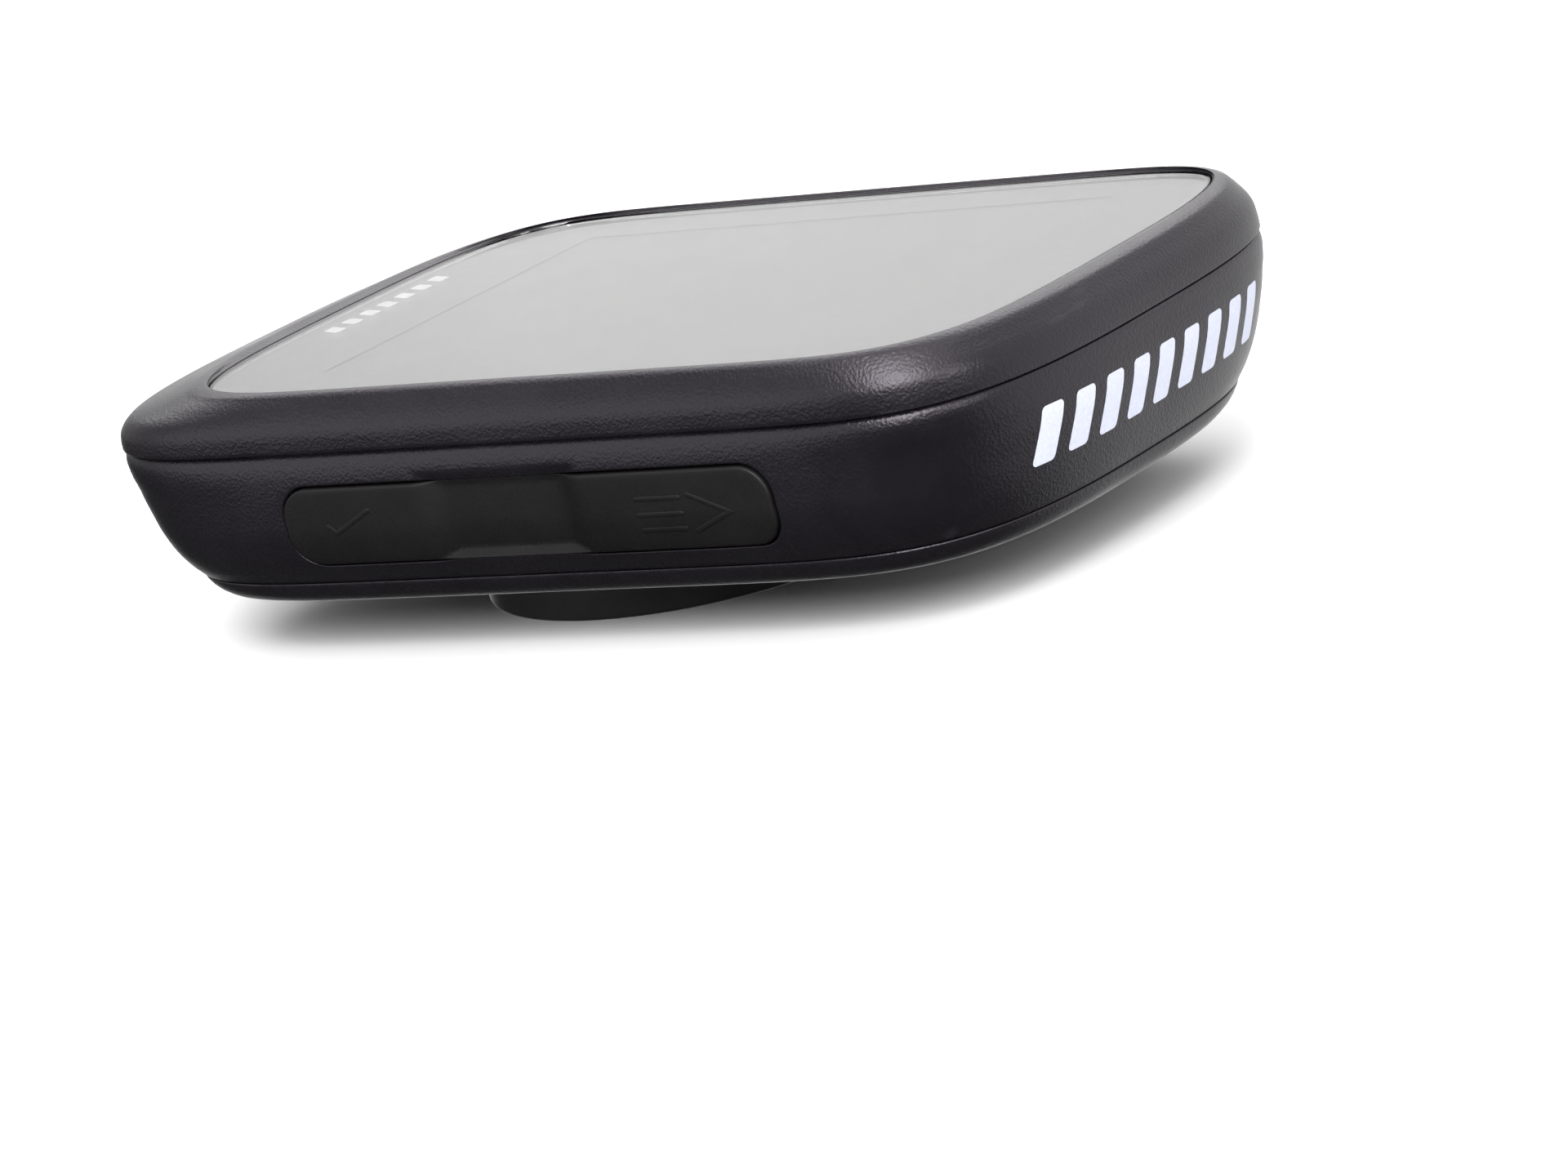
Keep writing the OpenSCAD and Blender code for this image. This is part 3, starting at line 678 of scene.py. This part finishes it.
def build_pad(strip):
    """The strip as one closed solid: rounded edge, walls, and a flat back with a nub behind each key."""
    solid = Solid()
    fade = strip.fade(strip.loop[:, 0])
    r = 0.17 - 0.13 * fade
    rings = [strip.pad_at(grow(strip.loop, -back * r), drop * r) for back, drop in fillet(1.0, 6)]
    top = grow(strip.loop, -r)
    middle = (strip.keys[0][1] + strip.keys[1][0]) / 2
    lo, hi = KEY_Z - KEY_H / 2, KEY_Z + KEY_H / 2
    ends = [top[:, 1].min(), top[:, 1].max()]
    cuts = [flat_row(ends[0] + 0.3, ends[1] - 0.3, u, 18)[:, ::-1]
            for u in (strip.keys[0][1], middle, strip.keys[1][0])]
    heights = [lo + rise for rise in (0.15, 0.3, 0.45, 0.6, 0.75)] + [hi - drop for drop in (0.5, 0.3, 0.15)]
    rows = [flat_row(*strip.hollow, v, 34) for v in heights]
    solid.fill(top, [], 0.33, strip.pad_at, extra=[*cuts, *rows])
    nubs = [circle((k0 + k1) / 2, KEY_Z, 0.8, 20) for k0, k1 in strip.keys]

    def at_depth(depth):
        return lambda flat: strip.place(flat[:, 0], flat[:, 1], strip.plane - depth)

    solid.loft([*rings, at_depth(0)(strip.loop)])
    solid.fill(strip.loop, nubs, 1.2, at_depth(0))
    for nub in nubs:
        walls = solid.loft([at_depth(0)(nub), at_depth(0.72)(nub), at_depth(0.8)(grow(nub, -0.08))])
        solid.cap(walls[-1])
    return solid.make(strip.kind + "_pad", angle=50)


def slab(whole, name, axis, low, high):
    """The part of a closed piece between two places along an axis, closed again where it is cut."""
    part = whole.copy()
    part.data = whole.data.copy()
    part.name = part.data.name = name
    bpy.context.scene.collection.objects.link(part)
    work = bmesh.new()
    work.from_mesh(part.data)
    for at, keep in ((low, 1), (high, -1)):
        if at is None:
            continue
        where, facing = [0, 0, 0], [0, 0, 0]
        where[axis], facing[axis] = at * MM, 1
        everything = [*work.verts, *work.edges, *work.faces]
        cut = bmesh.ops.bisect_plane(work, geom=everything, dist=1e-7, plane_co=where, plane_no=facing,
                                     clear_inner=keep > 0, clear_outer=keep < 0)
        edges = [g for g in cut["geom_cut"] if isinstance(g, bmesh.types.BMEdge) and len(g.link_faces) == 1]
        filled = bmesh.ops.edgeloop_fill(work, edges=edges)
        for face in filled["faces"]:
            face.smooth = False
            for edge in face.edges:
                edge.smooth = False
    write_mesh(work, part.data)
    return part


def rib(solid, strip, line):
    """Adds a raised half-round line along flat points on a key, as a closed shell of its own."""
    half, height, sunk = 0.15, 0.06, -0.08
    line = np.array(line, float)
    line = np.array([p + (q - p) * k / 8 for p, q in zip(line, line[1:]) for k in range(8)] + [line[-1]])
    ahead = np.diff(line, axis=0)
    ahead /= np.linalg.norm(ahead, axis=1)[:, None]
    before, after = np.vstack([ahead[:1], ahead]), np.vstack([ahead, ahead[-1:]])
    across = np.column_stack([-(before + after)[:, 1], (before + after)[:, 0]])
    across /= np.linalg.norm(across, axis=1)[:, None]
    side = np.column_stack([-after[:, 1], after[:, 0]])
    across /= np.sum(across * side, axis=1)[:, None]
    turns = np.linspace(0, math.pi, 9)
    crown = [(half * math.cos(t), height * math.sin(t) ** 0.7) for t in turns]
    section = [(half, sunk), *crown, (-half, sunk)]
    rings = []
    taper = (0.14, 0.25), (0.1, 0.7)
    path = [(line[0] - before[0] * d, across[0] * share, share) for d, share in taper]
    path += [(p, a, 1.0) for p, a in zip(line, across)]
    path += [(line[-1] + after[-1] * d, across[-1] * share, share) for d, share in taper[::-1]]
    for p, a, share in path:
        flat = np.array([p + a * off for off, _ in section])
        up = np.array([lift * (share if lift > 0 else 1) for _, lift in section])
        rings.append(strip.place(*flat.T, strip.skin(*flat.T) + PROUD + up))
    made = solid.loft(rings)
    solid.cap(made[0])
    solid.cap(made[-1])


# ---- bezel, glass and display ----


def between(rows, z):
    """A row of the table at height z, smoothly between its rows."""
    table = np.array(rows, float)
    return (z, *(float(monotone(table[:, 0], table[:, k], z)) for k in range(1, table.shape[1])))


def build_bezel():
    """The skin leans in to a rounded crest, and a shallow slope runs from the crest down to the glass."""
    insets = [  # z, in from the half width and the half length, shift, exponents
        (13.14, 0.09, 0.05, 0.0, 2.95, 8.8), (13.6, 0.12, 0.1, 0.02, 2.95, 8.8),
        (14.0, 0.19, 0.28, 0.12, 2.96, 8.9), (14.5, 0.36, 0.72, 0.36, 2.97, 9),
        (15.2, 0.7, 2.12, 1.3, 2.96, 8.8), (15.5, 0.89, 2.77, 1.75, 2.95, 8.7),
        (15.7, 1.02, 3.24, 2.05, 2.95, 8.6),
    ]
    skin = [(z, HALF_W - w, HALF_L - l, *more) for z, w, l, *more in insets]
    lip = GLASS_A + 0.08, GLASS_B + 0.08
    rest = GLASS_SHIFT, GLASS_N, GLASS_M
    ledge, ledge_z, ledge_low = (16.2, 24.1), 14.65, 13.6  # under the glass
    rows = [(HIGH_SEAM + rise, HALF_W - 0.08 - inset, HALF_L - 0.04 - inset, 0, 2.93, 8.8)
            for rise, inset in ((0, 0.09), (0.03, 0.03), (0.09, 0), (0.25, 0.01))]
    rows += [between(skin, z) for z in np.linspace(skin[0][0], skin[-1][0], 32)]
    _, crest_a, crest_b, crest_shift, *_ = skin[-1]
    height, first = TOP_Z - skin[-1][0], math.radians(33)
    for turn in np.linspace(first, math.pi / 2, 9)[1:]:
        drop = height * (1 - math.sin(turn)) / (1 - math.sin(first))
        back = 0.66 * (math.cos(first) - math.cos(turn))
        share = 1 - (drop / height) ** 0.62
        length, shift = crest_b - 1.06 * share, crest_shift + 0.3 * share
        rows.append((TOP_Z - drop, crest_a - back, length, shift, 2.96, 8.7))
    rows += [
        (TOP_Z - 0.01, 18.66, 26.93, 2.36, 2.98, 9.2),
        (15.93, 18.6, 26.72, 2.34, 3.05, 10.4),
        (15.84, lip[0] + 0.06, lip[1] + 0.07, *rest),
        (15.815, lip[0] + 0.015, lip[1] + 0.015, *rest),
        *((z, *lip, *rest) for z in (15.78, GLASS_Z - 0.6, ledge_z)),
        *((z, *ledge, *rest) for z in (ledge_z, ledge_low)),
        (ledge_low, 18.25, 27.8, 0.7, 3, 9),
        (HIGH_SEAM, 18.7, 29.5),
    ]
    solid = Solid()
    solid.loft([level(row) for row in rows], closed=True)
    return solid.make("front_bezel_shell", angle=34)


def build_lens():
    low, high = (c.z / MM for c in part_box("lens"))
    low += 0.04
    shape = GLASS_SHIFT, GLASS_N, GLASS_M
    rows = [(low, GLASS_A - 0.2), (low, GLASS_A - 0.1), (low + 0.1, GLASS_A)]
    rows += [(high - drop, GLASS_A - back) for back, drop in fillet(0.05)[::-1]]
    rows.append((high, GLASS_A - 0.25))
    solid = Solid()
    rings = solid.loft([level((z, a, GLASS_B - (GLASS_A - a), *shape)) for z, a in rows])
    solid.cap(rings[0])
    solid.cap(rings[-1])
    return solid.make("cover_lens", angle=50)


def thin_sheet(name, outer, holes, z0, z1):
    """A flat film with holes, between two heights."""
    solid = Solid()
    for z in (z0, z1):
        solid.fill(outer, holes, 3.0, at_z(z))
    for loop in (outer, *holes):
        solid.loft([at_z(z0)(loop), at_z(z1)(loop)])
    return solid.make(name)


def dashes(centre_u, centre_v, length, height, count, slant, share):
    """Flat outlines of a row of slanted dashes. Each fills a share of its place in the row."""
    pitch = length / count
    made = []
    for i in range(count):
        u = centre_u - length / 2 + pitch * (i + 0.5)
        w, h, s = pitch * share / 2, height / 2, slant * height / 2
        places = [(-w - s, -h), (w - s, -h), (w + s, h), (-w + s, h)]
        corners = [(u + du, centre_v + dv, min(w, h) * 0.35) for du, dv in places]
        made.append(rounded_polygon(corners, 0.5))
    return made


def rounded_polygon(corners, step=0.35):
    """Closed counter-clockwise loop through (x, y, radius) corners, each rounded, with even steps between."""
    points = []
    count = len(corners)
    for i, (x, y, r) in enumerate(corners):
        here = np.array((x, y))
        back = np.array(corners[i - 1][:2]) - here
        ahead = np.array(corners[(i + 1) % count][:2]) - here
        back, ahead = back / np.linalg.norm(back), ahead / np.linalg.norm(ahead)
        half = math.acos(np.clip(back @ ahead, -1, 1)) / 2
        centre = here + (back + ahead) / np.linalg.norm(back + ahead) * r / math.sin(half)
        start, stop = here + back * r / math.tan(half) - centre, here + ahead * r / math.tan(half) - centre
        a0, a1 = math.atan2(start[1], start[0]), math.atan2(stop[1], stop[0])
        turn = (a1 - a0 + math.pi) % (2 * math.pi) - math.pi
        steps = max(3, int(abs(turn) * r / step) + 1, int(abs(turn) / 0.26))
        angles = a0 + turn * np.arange(steps + 1) / steps
        points.append(list(centre + r * np.column_stack([np.cos(angles), np.sin(angles)])))
    loop = []
    for i, arc in enumerate(points):
        loop += arc
        a, b = arc[-1], points[(i + 1) % count][0]
        more = int(np.linalg.norm(b - a) / step)
        loop += [a + (b - a) * k / (more + 1) for k in range(1, more + 1)]
    loop = np.array(loop)
    keep = np.linalg.norm(loop - np.roll(loop, 1, 0), axis=1) > 1e-4
    return loop[keep]


# ---- back cover, mount, flap and screws ----


def both_sides(half):
    """Corners (x, y, radius) of the right half, from the bottom up, and their mirror images."""
    return half + [(-x, y, r) for x, y, r in half[::-1]]


def build_back_cover():
    solid = Solid()
    face = outline(HALF_W - 3.08, HALF_L - 3.67)
    skin = [  # z, then how far in from the half width and the half length
        (BACK_Z, 3.08, 3.67), (3.34, 2.86, 3.46), (3.45, 2.62, 3.25), (3.62, 2.4, 3.04), (3.85, 2.16, 2.8),
        (4.15, 1.93, 2.57), (4.45, 1.78, 2.4), (4.63, 1.72, 2.32), (4.695, 1.74, 2.34), (LOW_SEAM, 1.8, 2.4),
        (LOW_SEAM, 3.15, 3.85), (5.45, 3.2, 3.9), (5.52, 3.27, 3.97), (5.52, 4.03, 4.73), (5.45, 4.1, 4.8),
        (FLOOR_Z, 4.1, 4.8),
    ]
    rings = solid.loft([level((z, HALF_W - w, HALF_L - l)) for z, w, l in skin])
    inside_floor = np.array([solid.points[i][:2] for i in rings[-1]])
    half = [(4.15, -25.25, 0.8), (4.15, -23.3, 0.3), (6.45, -23.3, 1.5), (6.45, -16.1, 1.5)]
    pocket = rounded_polygon(both_sides(half))
    pocket_z = BACK_Z + 0.73
    port = rounded_rect(-4.3, 4.3, SOCKET_Y - 1.8, SOCKET_Y + 1.8, 0.35)
    peg, vent = circle(0, PEG_Y, 0.85, 24), circle(-6.6, 26.3, 0.5, 20)
    neck = circle(0, 0, NECK_R + 0.1, 120)

    def mouth(loop, r, *more):
        """A rounded edge into the bottom face, then the rows (loop, z) of the hole."""
        rows = [at_z(BACK_Z + drop)(grow(loop, back)) for back, drop in fillet(r)]
        solid.loft([*rows, *(at_z(z)(flat) for flat, z in more)])
        return grow(loop, r)

    holes = [mouth(neck, 0.22, (neck, FLOOR_Z)), mouth(pocket, 0.16, (pocket, pocket_z)),
             mouth(vent, 0.15, (vent, FLOOR_Z))]
    columns = []
    for x, y in SCREWS:
        hole, shank, column = (circle(x, y, r, 40) for r in (1.6, 0.85, 1.25))
        shelf, top = 4.15, 5.65
        steps = (hole, shelf), (shank, shelf), (shank, top), (column, top), (column, FLOOR_Z)
        holes.append(mouth(hole, 0.14, *steps))
        columns.append(column)
    solid.fill(face, holes, 0.9, at_z(BACK_Z))
    solid.fill(pocket, [port, peg], 0.8, at_z(pocket_z))
    for loop in (port, peg):
        solid.loft([at_z(pocket_z)(loop), at_z(FLOOR_Z)(loop)])
    solid.fill(inside_floor, [neck, port, peg, vent, *columns], 1.6, at_z(FLOOR_Z))
    return solid.make("back_cover_shell")


def lug_outline():
    """Plan of the bayonet: the neck, two lugs along the case, and a notch in each lug."""
    half, flank = math.radians(LUG_ANGLE / 2), 2.2
    t = np.linspace(-math.pi / 2, math.pi / 2, 481)[:-1]
    away = LUG_R * np.abs(t)
    rise = smooth((half * LUG_R + 0.6 * flank - away) / flank)
    r = NECK_R + (LUG_R - NECK_R) * rise
    r -= 0.55 * smooth((0.95 - away) / 0.75)
    turns = np.concatenate([t + math.pi / 2, t + 3 * math.pi / 2])
    r = np.concatenate([r, r])
    return np.column_stack([r * np.cos(turns), r * np.sin(turns)])


def build_mount():
    solid = Solid()
    plan = lug_outline()
    radius = np.linalg.norm(plan, axis=1)
    turn = plan / radius[:, None]
    room = np.clip((radius - NECK_R) * 0.5, 0, 0.22)
    rows = [at_z(drop)(grow(plan, -back)) for back, drop in fillet(0.24)]
    face = grow(plan, -0.24)
    for back, drop in fillet(1.0)[::-1]:
        rows.append(np.column_stack([plan - turn * (back * room)[:, None], LUG_T - drop * room]))
    flange, bore = 14.45, 11
    steps = [(LUG_T, NECK_R), (4.65, NECK_R), (4.65, flange), (5.15, flange), (5.2, flange - 0.05),
             (5.2, bore), (LUG_T, bore)]
    rings = solid.loft(rows + [at_z(z)(turn * r) for z, r in steps])
    solid.cap(rings[-1])
    groove = [circle(0, 0, r, 96) for r in (10.0, 6.6)]
    solid.fill(face, [grow(groove[0], 0.1)], 1.0, at_z(0))
    disc = grow(groove[1], -0.1)
    steps = [at_z(drop)(grow(groove[0], back)) for back, drop in fillet(0.1)]
    steps += [at_z(0.35)(groove[0]), at_z(0.35)(groove[1])]
    steps += [at_z(drop)(grow(groove[1], -back)) for back, drop in fillet(0.1)[::-1]]
    solid.loft(steps)
    solid.fill(disc, [], 1.2, at_z(0))
    return solid.make("bayonet_insert")


def build_flap():
    """Flap, strap and peg as one moulding. The strap is thinner where it bends."""
    solid = Solid()
    half = [(4, -25.1, 0.7), (4, -22.15, 0.45), (6.3, -22.15, 1.0), (6.3, -16.25, 1.4)]
    plan = rounded_polygon(both_sides(half), 0.22)

    def thinner(flat):
        """1 on the line where the strap bends, and 0 away from it."""
        return np.exp(-(((flat[:, 1] - HINGE_Y) / 0.32) ** 2))

    def lower(flat, drop=0.0):
        x, y = flat[:, 0], flat[:, 1]
        grip = 0.34 * smooth((y + 17.0) / 0.75) * smooth((2.9 - np.abs(x)) / 0.6)
        return np.column_stack([flat, BACK_Z + drop + 0.2 * thinner(flat) + grip])

    def upper(flat, drop=0.0):
        return np.column_stack([flat, 4.0 - drop - 0.12 * thinner(flat)])

    skirt = rounded_rect(-3.1, 3.1, SOCKET_Y - 0.65, SOCKET_Y + 0.65, 0.3)
    peg, rim, end = (circle(0, PEG_Y, r, 24) for r in (0.78, 1.08, 0.95))
    rows = [lower(grow(plan, -back), drop) for back, drop in fillet(0.2)]
    rows += [upper(grow(plan, -back), drop) for back, drop in fillet(0.1)[::-1]]
    solid.loft(rows)
    bend_rows = [flat_row(-3.7, 3.7, HINGE_Y + d, 24) for d in (-0.4, -0.27, -0.13, 0, 0.13, 0.27, 0.4)]
    solid.fill(grow(plan, -0.2), [], 0.45, lower, extra=bend_rows)
    solid.fill(grow(plan, -0.1), [skirt, peg], 0.6, upper, extra=bend_rows)
    tip = solid.loft([upper(skirt), at_z(5.05)(skirt), at_z(5.2)(grow(skirt, -0.12))])[-1]
    solid.cap(tip)
    head = solid.loft([upper(peg), at_z(4.63)(peg), at_z(4.63)(rim), at_z(5.0)(rim), at_z(5.1)(end)])[-1]
    solid.cap(head)
    return solid.make("charging_flap", angle=45)


def build_screws():
    """Four screws with a rounded head and a six-sided socket."""
    solid = Solid()
    head_r, edge, head_z = 1.45, 0.16, 3.35
    for x, y in SCREWS:
        rim, flat, shank = (circle(x, y, r, 48) for r in (head_r, head_r - edge, 0.7))
        hexagon = circle(x, y, 0.75, 6)
        pairs = zip(hexagon, np.roll(hexagon, -1, 0))
        socket = np.array([p + (q - p) * k / 4 for p, q in pairs for k in range(4)])
        tip = [x, y] + (socket - [x, y]) * 0.25
        rows = [at_z(head_z + drop)(grow(rim, -back)) for back, drop in fillet(edge)]
        top = solid.loft([*rows, at_z(4.1)(rim), at_z(4.1)(shank), at_z(7.5)(shank)])[-1]
        solid.cap(top)
        mouth = grow(socket, 0.03)
        solid.fill(flat, [mouth], 0.35, at_z(head_z))
        hole = [at_z(head_z)(mouth), at_z(3.4)(socket), at_z(3.8)(socket), at_z(3.92)(tip)]
        solid.cap(solid.loft(hole)[-1])
    return solid.make("cover_screws")


# ---- assembly ----

finish_piece(build_bezel(), "case", "case_black", case_plastic, "front_bezel")
finish_piece(build_mid_frame(), "case", "case_black", case_plastic, "mid_frame")
finish_piece(build_back_cover(), "case", "case_black", cover_plastic, "back_cover")
finish_piece(build_mount(), "case", "mount_black", mount_plastic, "quarter_turn_mount")
finish_piece(build_lens(), "case", "lens_glass", cover_glass, "lens")
finish_piece(build_screws(), "case", "screw_dark", screw_metal, "case_screws")

flap = build_flap()
flap.data.materials.append(flap_rubber)
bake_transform(flap)
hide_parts("usb_flap", "usb_flap_anchor")

# Border print and display window, in the gap under the glass.
lens_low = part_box("lens")[0].z / MM
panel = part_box("display_panel")
panel_mid = (panel[0].y + panel[1].y) / 2 / MM
window = rounded_rect(-13.7, 13.7, panel_mid - 18.35, panel_mid + 18.35, 0.5, step=2.0)
edge = outline(GLASS_A + 0.05, GLASS_B + 0.05, GLASS_SHIFT, GLASS_N, GLASS_M)
border = thin_sheet("border_print", edge, [window], lens_low + 0.004, lens_low + 0.018)
finish_piece(border, "case", "adhesive_black", print_black)

ticks = Solid()
for loop in dashes(-1.1, -19.5, 12.2, 1.35, 7, 0.35, 0.55):
    rings = ticks.loft([at_z(lens_low + 0.021)(loop), at_z(lens_low + 0.033)(loop)])
    ticks.faces += [tuple(rings[0]), tuple(rings[1])]
finish_piece(ticks.make("glass_ticks"), "case", "white_plastic", print_faint)


def nose_point(flat, proud):
    x, z = flat[:, 0], flat[:, 1]
    return np.column_stack([x, end_skin(x, z) + 2 * CASE_Y + proud, z])


nose = Solid()
for loop in dashes(0.1, 9.05, 25.0, 3.2, 9, -0.16, 0.6):
    nose.loft([nose_point(loop, -0.03), nose_point(loop, 0.015)])
    for proud in (-0.03, 0.015):
        nose.fill(loop, [], 0.5, lambda flat: nose_point(flat, proud))
finish_piece(nose.make("nose_ticks"), "case", "white_plastic", print_white)

# Key strips: each key is rigid and rides on its button, and each half of the web is a piece of its own
# between the key and the middle of the strip.
KEYS = {
    "right": (right_strip, 1, "right_key_web", ("enter", "menu_up")),
    "left": (left_strip, 1, "left_key_web", ("down", "power")),
    "end": (end_strip, 0, "end_key_web", ("lap", "start")),
}
turns = np.radians(np.linspace(130, 410, 12))
bars = [[(11.3, v), (14.1, v)] for v in (9.25, 8.35, 7.45)]
ring = [(14.5 + 0.95 * math.cos(t), 8.4 + 0.95 * math.sin(t)) for t in turns]
MARKS = {
    "menu_up": [*bars, [(14.7, 9.4), (17.2, 8.3), (14.7, 7.25)]],
    "enter": [[(-9.9, 8.55), (-9.4, 8.15), (-6.9, 9.4)]],
    "power": [[(14.5, 8.5), (14.5, 9.6)], ring],
    "down": [[(-8.3, 9.1), (-7.1, 7.8), (-5.9, 9.1)]],
    "start": [[(6.1, 9.4), (7.6, 8.45), (6.1, 7.5)], [(6.1, 9.1), (6.1, 7.8)]],
    "lap": [[(-7.7, 8.45), (-5.8, 8.45)]],
}
for side, (strip, axis, web_node, names) in KEYS.items():
    whole = build_pad(strip)
    whole.data.materials.append(key_rubber)
    middle = (strip.keys[0][1] + strip.keys[1][0]) / 2
    for which, name in enumerate(names):
        inner_end = strip.keys[which][1 - which]
        low, high = (None, inner_end) if which == 0 else (inner_end, None)
        key = slab(whole, f"{name}_key_cap", axis, low, high)
        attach(key, f"{name}_button")
        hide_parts(f"{name}_key")
        marks = Solid()
        for line in MARKS[name]:
            rib(marks, strip, line)
        finish_piece(marks.make(f"{name}_key_mark"), f"{name}_button", "key_rubber", key_rubber)
        ends = sorted((inner_end, middle))
        web = slab(whole, f"{side}_web_{name}", axis, *ends)
        a, b = [0.0, 0.0, KEY_Z * MM], [0.0, 0.0, KEY_Z * MM]
        a[axis], b[axis] = middle * MM, inner_end * MM
        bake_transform(web)
        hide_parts(web_node)
    bpy.data.objects.remove(whole)

# CAD nodes that stay: the parts inside the case.
INSIDE = {
    "lens_adhesive": adhesive, "display_panel": display_film, "backlight_guide": white_plastic,
    "display_tray": white_plastic, "display_flex": flex_film, "front_gasket": gasket_rubber,
    "rear_gasket": gasket_rubber, "main_board": board_mask, "board_chips": chip_epoxy,
    "shield_can": tin_steel, "gnss_antenna": antenna_ceramic, "flex_connector": cream_plastic,
    "side_switches": chip_epoxy, "buzzer": chip_epoxy, "pressure_sensor": tin_steel,
    "vent_membrane": white_plastic, "battery_cell": cell_foil, "battery_tape": tape_foam,
    "battery_lead_red": lead_red, "battery_lead_black": lead_black, "battery_connector": cream_plastic,
    "usb_socket": tin_steel, "usb_tongue": chip_epoxy, "board_screws": tin_steel,
}
INSIDE.update({f"{name}_plunger": cream_plastic for name in MARKS})
for name, finish in INSIDE.items():
    part = nodes[name]
    part.data.materials.clear()
    part.data.materials.append(finish)


# ---- floor, light and camera ----

floor_mesh = bpy.data.meshes.new("floor")
floor_mesh.from_pydata([(-3, -3, 0), (3, -3, 0), (3, 3, 0), (-3, 3, 0)], [], [(0, 1, 2, 3)])
floor = bpy.data.objects.new("floor", floor_mesh)
bpy.context.scene.collection.objects.link(floor)
floor_paint, _, _ = new_material("floor_paint", (0.82, 0.82, 0.82), 0.9)
floor_mesh.materials.append(floor_paint)
floor.visible_glossy = False

world = bpy.data.worlds.new("studio")
bpy.context.scene.world = world
world.use_nodes = True
tree = world.node_tree
background = tree.nodes["Background"]
background.inputs["Color"].default_value = (1, 1, 1, 1)
sky = node(tree, "ShaderNodeTexCoord")
split = node(tree, "ShaderNodeSeparateXYZ")
link(tree, sky, "Generated", split, "Vector")


def facing(direction):
    """How much the world's direction agrees with this one."""
    made = node(tree, "ShaderNodeVectorMath", operation="DOT_PRODUCT")
    link(tree, sky, "Generated", made, 0)
    made.inputs[1].default_value = direction
    return made


def joined(operation, *sockets):
    made = node(tree, "ShaderNodeMath", operation=operation)
    for into, (source, out) in enumerate(sockets):
        link(tree, source, out, made, into)
    return made


# A white room: dim overhead, a bright wall on the far side, and a glow behind the object for the glass.
up = ramp(tree, split, "Z", -0.15, 0.08, 0.06, 0.4)
far = ramp(tree, facing((-0.9, 0.3, -0.1)), "Value", 0.2, 0.5, 0.0, 1.0)
not_below = ramp(tree, split, "Z", -0.8, -0.5, 0.0, 1.0)
glow = ramp(tree, facing((-0.785, -0.568, -0.246)), "Value", 0.9, 0.99, 0.0, 0.85)
wall = joined("MULTIPLY", (far, "Result"), (not_below, "Result"))
lit_wall = joined("ADD", (wall, "Value"), (glow, "Result"))
total = joined("MAXIMUM", (up, "Result"), (lit_wall, "Value"))
seen = node(tree, "ShaderNodeLightPath")
shown = joined("MAXIMUM", (total, "Value"), (seen, "Is Camera Ray"))
link(tree, shown, "Value", background, "Strength")


def softbox(name, place, aim, size, power):
    data = bpy.data.lights.new(name, "AREA")
    data.shape, data.size, data.size_y, data.energy = "RECTANGLE", size[0], size[1], power
    lamp = bpy.data.objects.new(name, data)
    bpy.context.scene.collection.objects.link(lamp)
    lamp.location = place
    lamp.rotation_mode = "QUATERNION"
    lamp.rotation_quaternion = (Vector(aim) - Vector(place)).to_track_quat("-Z", "Y")


softbox("top_box", (-0.2, -0.15, 1.5), (0, 0, 0), (2.6, 2.6), 30)
softbox("key_box", (0.8, 0.4, 0.7), (0.02, 0.02, 0.01), (0.66, 0.8), 19)
softbox("nose_box", (0.3, 1.0, 0.42), (0.01, 0.03, 0.01), (0.2, 0.5), 3)
softbox("rim_box", (-0.82, -0.58, 0.82), (0, 0, 0.015), (1.3, 0.7), 5)
softbox("side_box", (0.75, -0.58, 0.22), (0.02, 0, 0.01), (0.8, 0.5), 1.2)

camera_data = bpy.data.cameras.new("camera")
camera_data.sensor_width, camera_data.lens = 36, 149.8
camera_data.clip_start, camera_data.clip_end = 0.01, 20
camera = bpy.data.objects.new("camera", camera_data)
bpy.context.scene.collection.objects.link(camera)
camera.location = (0.29209, 0.21614, 0.08889)
camera.rotation_euler = [math.radians(angle) for angle in (75.459, 12.014, 122.784)]
bpy.context.scene.camera = camera
bpy.context.scene.view_settings.view_transform = "Standard"
